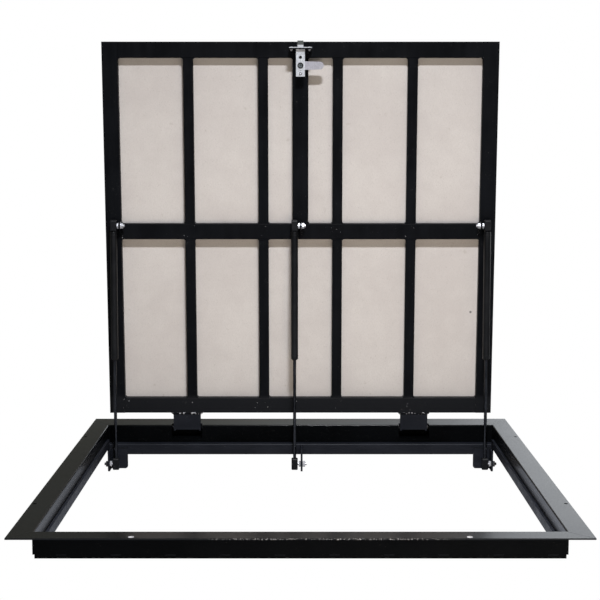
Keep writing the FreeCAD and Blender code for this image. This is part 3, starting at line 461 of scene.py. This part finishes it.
# The hub's steel also colours the dimple's ring of painted shade.
hub_steel_and_shade = zinc("hub steel and dimple shade", (0.13, 0.15, 0.16), (0.34, 0.37, 0.39), 0.5, 0.34)
bolt_finish = bolt_steel()
stud_zinc = outboard_zinc()
fastener_zinc = zinc("fastener zinc", (0.42, 0.43, 0.46), (0.74, 0.75, 0.78), 0.55, 0.28)
print("latch finishes made")


# %% [markdown]
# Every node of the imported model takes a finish. Most follow their material
# slot. The folded sheets, the bars under the lid's edges, the hinge arms, the
# lower studs, the lever, the hub and the bolt have a finish of their own. A
# node's mesh stays as it is: only its material changes.

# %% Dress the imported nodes
FINISHES = {
    "frame_paint": bar_primer,
    "lid_paint": lid_primer,
    "fibre_board": board_finish,
    "strut_paint": strut_black,
    "rod_steel": polished_rod,
    "socket_metal": socket_cast,
    "latch_zinc": latch_zinc,
    "plated_steel": fastener_zinc,
}
OWN_FINISHES = {
    "frame_front": sheet_finish,
    "frame_left": left_side_finish,
    "frame_right": right_side_finish,
    "frame_rear": sheet_finish,
    "ledge_front": sheet_finish,
    "ledge_left": bar_primer,
    "ledge_right": bar_primer,
    "hinge_arm_left": bar_primer,
    "hinge_arm_right": bar_primer,
    "hinge_pocket_left": sheet_finish,
    "hinge_pocket_right": sheet_finish,
    "lower_ball_studs": stud_zinc,
    "latch_lever": lever_zinc,
    "latch_hub": hub_steel_and_shade,
    "latch_bolt": bolt_finish,
}
for part in frame["record"]["subparts"]:
    dressed = nodes[part["node"]]
    if not dressed.material_slots:
        dressed.data.materials.append(None)
    finish = OWN_FINISHES.get(part["node"], FINISHES[part["material_slot"]])
    for material_slot in dressed.material_slots:
        material_slot.material = finish


# %% [markdown]
# Small pieces are modelled once about the origin and then copied to their
# places. These helpers build the matrix of a place from a line and an outward
# direction, join the copies to one piece and hand it to its body.

# %% Helpers for placing pieces
def placed(origin, along, up):
    """The matrix that lays the X axis along a line and turns Z to up."""
    x = along.normalized()
    z = (up - x * up.dot(x)).normalized()
    turn = Matrix((x, z.cross(x), z)).transposed().to_4x4()
    return Matrix.Translation(origin) @ turn


def joined(name, pieces):
    """Join objects into one whose place is in its mesh."""
    bpy.ops.object.select_all(action="DESELECT")
    for piece in pieces:
        piece.select_set(True)
    bpy.context.view_layer.objects.active = pieces[0]
    bpy.ops.object.transform_apply(location=True, rotation=True, scale=True)
    bpy.ops.object.join()
    whole = bpy.context.active_object
    whole.name = name
    whole.data.name = name
    bpy.ops.object.shade_smooth_by_angle(angle=math.radians(40))
    return whole


def copies(name, master, places):
    """Copy a master to every place, each with its own mesh, and join them."""
    made = []
    for place in places:
        piece = master.copy()
        piece.data = master.data.copy()
        bpy.context.scene.collection.objects.link(piece)
        piece.matrix_world = place
        made.append(piece)
    bpy.data.objects.remove(master)
    return joined(name, made)


def keep(piece, body, finish):
    """Give a finished piece its body and its material."""
    piece.data.materials.clear()
    piece.data.materials.append(finish)
    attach(piece, body)
    print(piece.name, len(piece.data.polygons), "faces")


# %% [markdown]
# A weld bead is a row of small frozen pools, each lapping over the last. One
# pool is a sphere pressed flat and tilted in edit mode; an Array modifier lays
# the row and a little seeded jitter keeps the pools from looking stamped.

# %% A weld bead along the X axis
WELD_STEEL = (0.52, 0.52, 0.54)


def weld_bead(length, width, seed):
    """A bead of that length and width, its middle at the origin."""
    step = width * 0.44
    count = max(2, round(length / step))
    bpy.ops.object.select_all(action="DESELECT")
    bpy.ops.mesh.primitive_uv_sphere_add(segments=8, ring_count=5, radius=width / 2)
    bead = bpy.context.active_object
    bpy.ops.object.mode_set(mode="EDIT")
    bpy.ops.transform.resize(value=(0.72, 1.0, 0.62), center_override=(0, 0, 0))
    bpy.ops.transform.rotate(value=math.radians(18), orient_axis="Y", center_override=(0, 0, 0))
    bpy.ops.object.mode_set(mode="OBJECT")
    row = bead.modifiers.new("row", "ARRAY")
    row.count = count
    row.use_relative_offset = False
    row.use_constant_offset = True
    row.constant_offset_displace = (step, 0, 0)
    bpy.ops.object.modifier_apply(modifier="row")
    bpy.ops.object.mode_set(mode="EDIT")
    bpy.ops.mesh.select_all(action="SELECT")
    bpy.ops.transform.translate(value=(-step * (count - 1) / 2, 0, 0))
    bpy.ops.transform.vertex_random(offset=width * 0.05, seed=seed)
    bpy.ops.object.mode_set(mode="OBJECT")
    return bead


def weld_finish(name, bare, spot_scale=330.0):
    """Primer over a bead, rubbed to bare steel on its crests."""
    material, shader, where = new_material(name)
    crests = noise(where, spot_scale, 1.0, 0.5).between(0.66 - bare, 0.70 - bare)
    grain = noise(where, 900.0, 2.0)
    colour = crests.blend((0.0046, 0.0052, 0.0070), WELD_STEEL)
    set_shader(shader, where, Base_Color=colour, Metallic=crests * 0.4, Roughness=0.44 + grain * 0.16,
               Specular_IOR_Level=0.12)
    bump(where, shader, grain, 0.2, 0.0003)
    return material


painted_weld = weld_finish("painted weld", -0.02)
frame_weld = weld_finish("frame weld", -0.12)
bare_weld = weld_finish("bare weld", 0.10, 140.0)
print("weld bead ready")


# %% [markdown]
# The lid's tubes are welded in their inner corners: a short bead runs through
# the thickness at each of the four corners of all eleven panels. The corners
# follow from the tubes' own boxes, so no place is typed in twice.

# %% Corner welds of the lid
TUBE_OUT = 0.022
STILE_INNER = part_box("lid_stile_right")[0][0]
RAILS = {"hinge": (0.0416, 0.0816), "middle": (0.4973, 0.5373), "latch": (0.953, 0.993)}


def panel_edges(bars):
    """The left and right edges of the openings between upright bars."""
    edges = [-STILE_INNER]
    for bar in bars:
        low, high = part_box(bar)
        edges += [low[0], high[0]]
    edges.append(STILE_INNER)
    return list(zip(edges[::2], edges[1::2]))


def corner_places(panels, low, high):
    """The four inner corners of each opening between two rails."""
    places = []
    for left, right in panels:
        for x, side in ((left, 1), (right, -1)):
            for along, way in ((low, 1), (high, -1)):
                middle = on_lid(x + side * 0.0009, along + way * 0.0009, 0.0125)
                places.append(placed(middle, OUT, Vector((side, 0, 0)) + ALONG * way))
    return places


upper_bars = [f"lid_bar_{place}" for place in ("upper_1", "upper_2", "centre", "upper_3", "upper_4")]
lower_bars = [f"lid_bar_lower_{number}" for number in (1, 2, 3, 4)]
upper_panels = panel_edges(upper_bars)
lower_panels = panel_edges(lower_bars)
corners = corner_places(upper_panels, RAILS["middle"][1], RAILS["latch"][0])
corners += corner_places(lower_panels, RAILS["hinge"][1], RAILS["middle"][0])
lid_corner_welds = copies("lid_corner_welds", weld_bead(0.019, 0.0046, 3), corners)
keep(lid_corner_welds, "lid", painted_weld)


# %% [markdown]
# The load-bearing joints have longer beads: both hinge arms along the lid's
# hinge rail, the three strut tabs under the middle rail and the latch bracket
# under the free edge. The arms' beads were rubbed bare in spots, so they glint.

# %% Arm, tab and latch welds
ARM_X = 0.296


def arm_welds():
    lines = []
    for side in (-1, 1):
        for out, bead_width in ((TUBE_OUT + 0.0004, 0.0056), (0.0165, 0.0042)):
            middle = on_lid(side * ARM_X, 0.0405, out)
            bead = weld_bead(0.071, bead_width, 5 + side)
            bead.matrix_world = placed(middle, Vector((1, 0, 0)), OUT)
            lines.append(bead)
        for end in (-1, 1):
            flare = weld_bead(0.007, 0.0062, 11 + end)
            spot = on_lid(side * ARM_X + end * 0.0362, 0.0400, 0.0200)
            flare.matrix_world = placed(spot, Vector((end, 0, 0)) + ALONG * 0.8, OUT)
            lines.append(flare)
    return joined("hinge_arm_welds", lines)


def tab_welds():
    places = []
    for tab in ("lid_tab_left", "lid_tab_centre", "lid_tab_right"):
        low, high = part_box(tab)
        for x, side in ((low[0], -1), (high[0], 1)):
            middle = on_lid(x + side * 0.0006, 0.5213, TUBE_OUT + 0.0005)
            places.append(placed(middle, ALONG, Vector((side, 0, 0)) + OUT))
    return copies("lid_tab_welds", weld_bead(0.030, 0.0042, 21), places)


def latch_bracket_welds():
    places = []
    for x in (-0.02, 0.02):
        middle = on_lid(x, 0.9650, TUBE_OUT + 0.0004)
        places.append(placed(middle, Vector((1, 0, 0)), OUT - ALONG))
    return copies("latch_bracket_welds", weld_bead(0.014, 0.0036, 27), places)


keep(arm_welds(), "lid", bare_weld)
keep(tab_welds(), "lid", painted_weld)
keep(latch_bracket_welds(), "lid", painted_weld)


# %% [markdown]
# On the frame, short stitches under the walls hold the flat bars on which the
# lid rests. They are evenly spaced, so one stitch is copied along each wall.

# %% Stitches under the walls
WALL_X = 0.500
FRONT_Y = -0.507
LEG_Z = -0.044
STITCH_PITCH = 0.1027


def stitch_welds():
    down = Vector((0, 0, -1))
    places = []
    for index in range(-5, 5):
        middle = Vector((0.0640 + index * STITCH_PITCH, FRONT_Y - 0.0010, LEG_Z - 0.0006))
        places.append(placed(middle, Vector((1, 0, 0)), down + Vector((0, -1, 0))))
    for side in (-1, 1):
        for index in range(-4, 5):
            middle = Vector((side * (WALL_X + 0.0010), index * STITCH_PITCH - 0.03, LEG_Z - 0.0006))
            places.append(placed(middle, Vector((0, 1, 0)), down + Vector((side, 0, 0))))
    return copies("frame_stitch_welds", weld_bead(0.019, 0.0048, 31), places)


keep(stitch_welds(), "frame", frame_weld)


# %% [markdown]
# The strut brackets are welded to the rear beam and the hinge pockets to the
# back of the rear wall. Each bead has its own length and follows one joint.

# %% Bracket and pocket welds
REAR_Y = 0.453
BEAM_Y = 0.428


def bracket_welds():
    beads = []
    for side in (-1, 1):
        bead = weld_bead(0.044, 0.0044, 41 + side)
        middle = Vector((side * 0.4701, BEAM_Y - 0.0016, -0.0552))
        bead.matrix_world = placed(middle, Vector((1, 0, 0)), Vector((0, -1, 1)))
        beads.append(bead)
        bead = weld_bead(0.022, 0.0040, 45 + side)
        middle = Vector((0.003 + side * 0.0031, BEAM_Y - 0.0004, -0.0600))
        bead.matrix_world = placed(middle, Vector((0, 0, 1)), Vector((side, -1, 0)))
        beads.append(bead)
    return joined("strut_bracket_welds", beads)


def pocket_welds():
    beads = []
    for side in (-1, 1):
        for end in (-1, 1):
            bead = weld_bead(0.034, 0.0046, 51 + side)
            middle = Vector((side * ARM_X + end * 0.0438, REAR_Y + 0.0034, -0.0205))
            bead.matrix_world = placed(middle, Vector((0, 0, 1)), Vector((end, 1, 0)))
            beads.append(bead)
        bead = weld_bead(0.084, 0.0046, 57 + side)
        middle = Vector((side * ARM_X, REAR_Y + 0.0034, -0.0394))
        bead.matrix_world = placed(middle, Vector((1, 0, 0)), Vector((0, 1, -1)))
        beads.append(bead)
        bead = weld_bead(0.084, 0.0042, 61 + side)
        middle = Vector((side * ARM_X, REAR_Y + 0.0504, -0.0034))
        bead.matrix_world = placed(middle, Vector((1, 0, 0)), Vector((0, 1, -1)))
        beads.append(bead)
    return joined("hinge_pocket_welds", beads)


keep(bracket_welds(), "frame", frame_weld)
keep(pocket_welds(), "frame", frame_weld)


# %% [markdown]
# The folded sheets meet in mitres that were welded and then ground almost
# flush. The seam starts as a flat grid along the X axis: it is drawn up to a low
# ridge, and a seeded jitter roughens the crest.

# %% Ground mitre seams
def mitre_seam(length, width, seed):
    bpy.ops.object.select_all(action="DESELECT")
    bpy.ops.mesh.primitive_grid_add(x_subdivisions=34, y_subdivisions=4, size=1)
    seam = bpy.context.active_object
    bpy.ops.object.mode_set(mode="EDIT")
    bpy.ops.transform.resize(value=(length, width, 1), center_override=(0, 0, 0))
    bpy.ops.mesh.extrude_region_move(TRANSFORM_OT_translate={"value": (0, 0, 0.00018)})
    bpy.ops.transform.resize(value=(0.99, 0.35, 1), center_override=(0, 0, 0))
    bpy.ops.transform.vertex_random(offset=0.00006, seed=seed)
    bpy.ops.mesh.select_all(action="SELECT")
    bpy.ops.mesh.normals_make_consistent(inside=False)
    bpy.ops.object.mode_set(mode="OBJECT")
    return seam


def mitre_seams():
    seams = []
    for side in (-1, 1):
        corners_of_flange = (
            (Vector((side * 0.5430, -0.5500, 0)), Vector((side * 0.5015, -0.5085, 0))),
            (Vector((side * 0.5435, 0.5310, 0)), Vector((side * 0.5015, 0.4557, 0))),
        )
        for outer, inner in corners_of_flange:
            seam = mitre_seam((outer - inner).length * 0.985, 0.0042, 71 + side)
            seam.matrix_world = placed((outer + inner) / 2, inner - outer, Vector((0, 0, 1)))
            seams.append(seam)
    return joined("flange_mitre_seams", seams)


keep(mitre_seams(), "frame", sheet_finish)


# %% [markdown]
# Welding throws fine drops that freeze on the steel round the joints. A drop
# is an icosphere pressed flat; copies lie at seeded random places, crowded
# near the arms and the corners, at seeded sizes.

# %% Weld spatter
def drop():
    bpy.ops.object.select_all(action="DESELECT")
    bpy.ops.mesh.primitive_ico_sphere_add(subdivisions=1, radius=0.0009)
    made = bpy.context.active_object
    bpy.ops.object.mode_set(mode="EDIT")
    bpy.ops.transform.resize(value=(1.0, 0.85, 0.6), center_override=(0, 0, 0))
    bpy.ops.transform.vertex_random(offset=0.00012, seed=5)
    bpy.ops.object.mode_set(mode="OBJECT")
    return made


def lid_spatter():
    chance = random.Random(11)
    places = []
    bars = (-0.457, -0.2817, -0.0939, 0.0, 0.0939, 0.2817, 0.457)
    rows = [(x, along, 0.030, 0.016) for x in bars for along in (0.517, 0.062)]
    rows += [(side * ARM_X, 0.058, 0.034, 0.012) for side in (-1, 1)]
    rows += [(0.002, 0.556, 0.010, 0.012)]
    for x, along, wide, high in rows:
        for _ in range(6):
            sideways = chance.gauss(0, wide) * 0.5
            spot = on_lid(x + sideways, along + chance.uniform(-high, high), TUBE_OUT)
            turn = Vector((chance.uniform(-1, 1), 0, 0)) + ALONG * chance.uniform(-1, 1)
            size = Matrix.Scale(chance.uniform(0.5, 1.35), 4)
            places.append(placed(spot, turn, OUT) @ size)
    return copies("lid_weld_spatter", drop(), places)


def frame_spatter():
    chance = random.Random(12)
    places = []
    for side in (-1, 1):
        for _ in range(16):
            x = side * chance.uniform(0.44, 0.497)
            spot = Vector((x, BEAM_Y - 0.00005, chance.uniform(-0.054, -0.047)))
            turn = Vector((1, 0, chance.uniform(-1, 1)))
            size = Matrix.Scale(chance.uniform(0.5, 1.2), 4)
            places.append(placed(spot, turn, Vector((0, -1, 0))) @ size)
        for _ in range(14):
            x = side * chance.uniform(0.507, 0.541)
            y = chance.choice((-0.53, 0.48)) + chance.uniform(-0.02, 0.02)
            turn = Vector((chance.uniform(-1, 1), 1, 0))
            size = Matrix.Scale(chance.uniform(0.4, 0.9), 4)
            places.append(placed(Vector((x, y, 0)), turn, Vector((0, 0, 1))) @ size)
    return copies("frame_weld_spatter", drop(), places)


keep(lid_spatter(), "lid", bare_weld)
keep(frame_spatter(), "frame", painted_weld)


# %% [markdown]
# Rings turn up all over a mechanism: wipers on the rods, washers under the nuts, and dark rings of painted shade
# round the latch's hub and rivet. A rectangle is emptied to its outline, spun round the Z axis, closed, and its
# sharp edges are bevelled.

# %% A turned ring
def ring(inner, outer, height, rounding, steps=32):
    """A ring that stands on the XY plane round the Z axis."""
    middle = (inner + outer) / 2
    bpy.ops.object.select_all(action="DESELECT")
    bpy.ops.mesh.primitive_plane_add(size=1, rotation=(math.pi / 2, 0, 0))
    made = bpy.context.active_object
    bpy.ops.object.transform_apply(location=True, rotation=True, scale=True)
    bpy.ops.object.mode_set(mode="EDIT")
    bpy.ops.transform.resize(value=(outer - inner, 1, height), center_override=(0, 0, 0))
    bpy.ops.transform.translate(value=(middle, 0, height / 2))
    bpy.ops.mesh.delete(type="ONLY_FACE")
    bpy.ops.mesh.select_all(action="SELECT")
    bpy.ops.mesh.spin(steps=steps, angle=2 * math.pi, center=(0, 0, 0), axis=(0, 0, 1))
    bpy.ops.mesh.select_all(action="SELECT")
    bpy.ops.mesh.remove_doubles(threshold=0.000001)
    bpy.ops.mesh.normals_make_consistent(inside=False)
    bpy.ops.object.mode_set(mode="OBJECT")
    bevel = made.modifiers.new("soft edges", "BEVEL")
    bevel.width = rounding
    bevel.segments = 2
    bpy.ops.object.modifier_apply(modifier="soft edges")
    return made


print("ring helper ready")


# %% [markdown]
# Each strut tube ends in a rubber wiper that cleans the rod, and a rolled
# collar holds the guide behind it. Both sit on the line between the strut's
# two balls, so each ring is stood on that line and rides with its tube.

# %% Rod wipers and rolled collars
LOWER_BALL = (0.401, -0.0905)
STRUTS = {"left": -0.4745, "centre": -0.015, "right": 0.4745}
TOP_BALL = (0.534, 0.039)
TUBE_LENGTH = 0.325
SOCKET_HALF = 0.0155

for label, x in STRUTS.items():
    low_ball = Vector((x, *LOWER_BALL))
    top_ball = on_lid(x, *TOP_BALL)
    line = (top_ball - low_ball).normalized()
    mouth = top_ball - line * (SOCKET_HALF + TUBE_LENGTH)
    wiper_place = placed(mouth - line * 0.0022, Vector((1, 0, 0)), line)
    wiper = copies(f"rod_wiper_{label}", ring(0.00405, 0.0066, 0.0030, 0.0006), [wiper_place])
    keep(wiper, f"cylinder_{label}", rubber_and_shade)
    rolled = [mouth + line * offset for offset in (0.0085, TUBE_LENGTH - 0.0095)]
    collar_places = [placed(spot, Vector((1, 0, 0)), line) for spot in rolled]
    collar = copies(f"tube_collar_{label}", ring(0.0086, 0.0096, 0.0022, 0.0004), collar_places)
    keep(collar, f"cylinder_{label}", strut_black)


# %% [markdown]
# Flat washers spread the load of the upper ball studs' nuts on their tabs. They
# are turned rings that lie on the tabs' sides, each on its stud's own line.

# %% Stud washers
def stud_washers():
    upper = []
    for tab, side in (("lid_tab_left", 1), ("lid_tab_right", -1), ("lid_tab_centre", 1)):
        low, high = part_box(tab)
        x = high[0] if side > 0 else low[0]
        upper.append(placed(on_lid(x, *TOP_BALL), ALONG, Vector((side, 0, 0))))
    return copies("upper_stud_washers", ring(0.0036, 0.0086, 0.0009, 0.0002), upper)


keep(stud_washers(), "lid", fastener_zinc)


# %% [markdown]
# The latch case carries a domed rivet on the hinge side of its hub. A dark ring round the hub stands for the shade
# in the gap there: painted shade. The dome is half a sphere: the lower half is cut away and the cap is pressed
# flat.

# %% Painted shade ring round the hub, and the rivet of the latch
LATCH_OUT = 0.0520
HUB_ALONG = 0.934
HOLE_OFFSET = 0.020
DIMPLE_ALONG = 0.9216


def on_case(along, out):
    """A place on the middle line of the latch case, out of its face."""
    return placed(on_lid(0, along, LATCH_OUT + out), Vector((1, 0, 0)), OUT)


def hub_shade_ring():
    # The dark ring stands for the shade in the gap round the hub: painted shade.
    return copies("hub_gap_shade", ring(0.0047, 0.0073, 0.0007, 0.0002), [on_case(HUB_ALONG, 0.00055)])


def rivet_dome():
    bpy.ops.object.select_all(action="DESELECT")
    bpy.ops.mesh.primitive_uv_sphere_add(segments=20, ring_count=10, radius=0.0027)
    dome = bpy.context.active_object
    bpy.ops.object.mode_set(mode="EDIT")
    bpy.ops.mesh.bisect(plane_co=(0, 0, 0.0002), plane_no=(0, 0, 1), clear_inner=True, use_fill=True)
    bpy.ops.mesh.select_all(action="SELECT")
    bpy.ops.transform.resize(value=(1, 1, 0.4), center_override=(0, 0, 0))
    bpy.ops.object.mode_set(mode="OBJECT")
    return copies("case_rivet", dome, [on_case(HUB_ALONG - HOLE_OFFSET, 0.0011)])


# The ring round the hub is painted shade.
keep(hub_shade_ring(), "lid", rubber_and_shade)
keep(rivet_dome(), "lid", latch_zinc)


# %% [markdown]
# On the other side of the hub, a dark cup in the case's hole stands for the shade inside the case: painted shade.
# The cup is a disc whose middle is inset and pressed in. A thin dark ring round the rivet is painted shade, and a
# small dark ring is the painted shade of a dimple in the sheet.

# %% Eyelet cup, rivet ring and dimple ring of the latch, as painted shade
def shade_cup_in_hole():
    """A dark cup in the case's hole, for the shade inside it: a disc whose middle is pressed in."""
    bpy.ops.object.select_all(action="DESELECT")
    bpy.ops.mesh.primitive_cylinder_add(vertices=28, radius=0.0038, depth=0.0010)
    cup = bpy.context.active_object
    bpy.ops.object.mode_set(mode="EDIT")
    bpy.ops.mesh.select_mode(type="FACE")
    mesh = bmesh.from_edit_mesh(cup.data)
    for face in mesh.faces:
        face.select_set(face.normal.z > 0.5)
    bmesh.update_edit_mesh(cup.data)
    bpy.ops.mesh.inset(thickness=0.0006, depth=0)
    bpy.ops.mesh.extrude_region_move(TRANSFORM_OT_translate={"value": (0, 0, -0.0006)})
    bpy.ops.object.mode_set(mode="OBJECT")
    return copies("case_shade_cup", cup, [on_case(HUB_ALONG + HOLE_OFFSET, -0.0003)])


def rivet_shade_ring():
    # A thin dark ring round the rivet: painted shade.
    outline = ring(0.0024, 0.0036, 0.0004, 0.0001, 24)
    return copies("rivet_shade_ring", outline, [on_case(HUB_ALONG - HOLE_OFFSET, 0.0010)])


def dimple_shade_ring():
    # A small darker ring stands for the shade of the dimple: painted shade.
    dimple = ring(0.0007, 0.0014, 0.0002, 0.00005, 16)
    return copies("dimple_shade_ring", dimple, [on_case(DIMPLE_ALONG, -0.00005)])


# The dark cup, the ring round the rivet and the dimple's ring are painted shade.
keep(shade_cup_in_hole(), "lid", rubber_and_shade)
keep(rivet_shade_ring(), "lid", rubber_and_shade)
keep(dimple_shade_ring(), "lid", hub_steel_and_shade)


# %% [markdown]
# Inside the case a spring pushes the bolt out, and the sliding bolt presses it together. The imported spring is
# rigid, so this coil stands for it: the wire's round section runs up a helix with a Screw modifier. It rides with
# the lid.

# %% Spring of the latch
WIRE = 0.0008
SPRING_TURNS = 5
spring_low, spring_high = (Vector(corner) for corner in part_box("latch_spring"))
SPRING_MIDDLE = (spring_low + spring_high) / 2
SPRING_RADIUS = (spring_high.x - spring_low.x - WIRE) / 2
tilt_share = (spring_high.x - spring_low.x) * abs(ALONG.y)
SPRING_LENGTH = (spring_high.z - spring_low.z - tilt_share) / ALONG.z


def spring_coil():
    rise = SPRING_LENGTH - WIRE
    bpy.ops.object.select_all(action="DESELECT")
    start = (SPRING_RADIUS, 0, -rise / 2)
    bpy.ops.mesh.primitive_circle_add(vertices=8, radius=WIRE / 2, location=start,
                                      rotation=(math.pi / 2, 0, 0))
    coil = bpy.context.active_object
    bpy.ops.object.transform_apply(location=True, rotation=True, scale=True)
    turns = coil.modifiers.new("turns", "SCREW")
    turns.steps = turns.render_steps = 18
    turns.iterations = SPRING_TURNS
    turns.screw_offset = rise / SPRING_TURNS
    bpy.ops.object.modifier_apply(modifier="turns")
    bpy.ops.object.mode_set(mode="EDIT")
    bpy.ops.mesh.select_all(action="SELECT")
    bpy.ops.mesh.fill_holes(sides=0)
    bpy.ops.mesh.select_all(action="SELECT")
    bpy.ops.mesh.normals_make_consistent(inside=False)
    bpy.ops.object.mode_set(mode="OBJECT")
    return copies("latch_spring_coil", coil, [placed(SPRING_MIDDLE, Vector((1, 0, 0)), ALONG)])


spring = spring_coil()
keep(spring, "lid", fastener_zinc)
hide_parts("latch_spring")
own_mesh(spring)
print("spring", round(SPRING_LENGTH * 1000, 2), "mm long, radius", round(SPRING_RADIUS * 1000, 2), "mm")


# %% [markdown]
# The board is held by countersunk screws. Their heads show on the side that takes the tiles, each with a cross
# recess. The recess is drawn as a dark solid cross standing for the shade in it: painted shade. It is a square
# stub whose four sides are drawn out to arms and tapered, sunk until only its dark top shows.

# %% Cross recesses of the board screws, as painted shade
HEAD_OUT = -0.00996


def recess_shade_cross():
    bpy.ops.object.select_all(action="DESELECT")
    bpy.ops.mesh.primitive_cube_add(size=0.0012)
    cross = bpy.context.active_object
    bpy.ops.object.mode_set(mode="EDIT")
    bpy.ops.mesh.select_mode(type="FACE")
    mesh = bmesh.from_edit_mesh(cross.data)
    for face in mesh.faces:
        face.select_set(abs(face.normal.z) < 0.5)
    bmesh.update_edit_mesh(cross.data)
    bpy.ops.mesh.extrude_faces_move(TRANSFORM_OT_shrink_fatten={"value": 0.0013})
    bpy.ops.transform.resize(value=(1.0, 1.0, 0.5), center_override=(0, 0, 0.0006))
    bpy.ops.object.mode_set(mode="OBJECT")
    return cross


def screw_places():
    chance = random.Random(7)
    stile_x, rail_x = 0.477, (-0.235, 0.0, 0.235)
    rows = [0.0616, 0.2894, 0.5173, 0.7452, 0.9730]
    spots = [(side * stile_x, along) for side in (-1, 1) for along in rows]
    spots += [(x, along) for x in rail_x for along in rows[::2]]
    places = []
    for x, along in spots:
        turn = Matrix.Rotation(chance.uniform(0, math.pi), 4, "Z")
        head = on_lid(x, along, HEAD_OUT)
        places.append(placed(head, Vector((1, 0, 0)), -OUT) @ turn)
    return places


# Dark crosses on the screw heads: painted shade of the recesses.
keep(copies("screw_recess_shade", recess_shade_cross(), screw_places()), "lid", rubber_and_shade)


# %% [markdown]
# The studio is plain: a white floor and one ceiling lamp in front of the lid,
# a little to the right. The lengths of the shadows under the lid's rails give
# its height. It is aimed in front of the lid, so that the board is lit evenly
# from top to bottom. A large soft lamp low in front fills its lower half.

# %% Floor and lamps
def studio_floor():
    bpy.ops.object.select_all(action="DESELECT")
    bpy.ops.mesh.primitive_plane_add(size=14, location=(0, 1.0, -0.112))
    floor = bpy.context.active_object
    floor.name = "studio_floor"
    material, shader, where = new_material("studio white")
    tree = material.node_tree
    rays = where.node("ShaderNodeLightPath")
    mirrored = rays.sibling(3)
    colour = mirrored.blend((0.46, 0.42, 0.37), (0.39, 0.41, 0.45))
    set_shader(shader, where, Base_Color=colour, Roughness=0.9, Specular_IOR_Level=0.1)
    glow = where.node("ShaderNodeEmission", Color=(1.0, 1.0, 1.0), Strength=1.0)
    mixed = where.node("ShaderNodeMixShader", _0=rays, _1=Wire(tree, shader.outputs[0]), _2=glow)
    tree.links.new(mixed.socket, tree.nodes["Material Output"].inputs["Surface"])
    floor.data.materials.append(material)


def area_lamp(name, place, target, size, power, colour):
    """A round lamp at a place that faces a target."""
    data = bpy.data.lights.new(name, "AREA")
    data.shape = "DISK"
    data.size = size
    data.energy = power
    data.color = colour
    lamp = bpy.data.objects.new(name, data)
    lamp.location = place
    lamp.rotation_euler = (Vector(target) - Vector(place)).to_track_quat("-Z", "Y").to_euler()
    bpy.context.scene.collection.objects.link(lamp)
    return lamp


studio_floor()
CEILING_PLACE, CEILING_TARGET = (0.20, -1.50, 2.60), (0.20, -2.4, 0.6)
FILL_PLACE, FILL_TARGET = (0.3, -1.1, -0.04), (0.0, 0.45, -0.04)
area_lamp("ceiling_lamp", CEILING_PLACE, CEILING_TARGET, 0.42, 203, (0.93, 0.95, 1.0))
fill = area_lamp("low_fill", FILL_PLACE, FILL_TARGET, 0.9, 10.0, (1.0, 0.87, 0.72))
fill.visible_glossy = False
print("floor and lamps ready")


# %% [markdown]
# The camera sees a white surround. Paint and metal mirror a backdrop that is
# white behind the object at the right and falls off to the left, as in the
# photographed room; without that, black paint seen at a low angle would turn
# white. Matt surfaces get a soft warm light, a little in front and more from
# behind, for the tile side. Each kind of ray finds its own strength, so the
# world is not sampled on its own.

# %% Surround
def surround():
    world = bpy.data.worlds.new("surround")
    bpy.context.scene.world = world
    world.use_nodes = True
    world.cycles.sampling_method = "NONE"
    tree = world.node_tree
    start = Wire(tree, None)
    direction = start.node("ShaderNodeTexCoord", output=0)
    right = start.node("ShaderNodeSeparateXYZ", Vector=direction)
    back = right.sibling(1)
    up = right.sibling(2)
    camera_ray = start.node("ShaderNodeLightPath")
    mirrored = camera_ray.sibling(3)
    see_through = camera_ray.sibling(6)
    seen = camera_ray.math("MAXIMUM", camera_ray, see_through)
    behind = back.between(0.2, 0.7)
    to_the_right = right.between(-0.16, 0.16) * 0.80 + right.between(0.09, 0.19) * 1.75 + 0.18
    backdrop = behind * to_the_right + up.between(0.3, 0.9) * 0.10 + 0.03
    in_front = (back * -1.0).between(-0.3, 0.6)
    room = in_front * 0.02 + up.between(-0.2, 1.0) * 0.02 + behind * 0.42 + 0.01
    strength = seen + (1.0 - seen) * (mirrored * backdrop + (1.0 - mirrored) * room)
    cast = right.between(-0.15, 0.15).blend((1.0, 1.0, 0.88), (0.96, 1.0, 1.05))
    tint = mirrored.blend((1.0, 0.84, 0.66), cast)
    tint = seen.blend(tint, (1.0, 1.0, 1.0))
    light = start.node("ShaderNodeBackground", Color=tint, Strength=strength)
    output = next(node for node in tree.nodes if node.type == "OUTPUT_WORLD")
    tree.links.new(light.socket, output.inputs["Surface"])


surround()
print("surround ready")
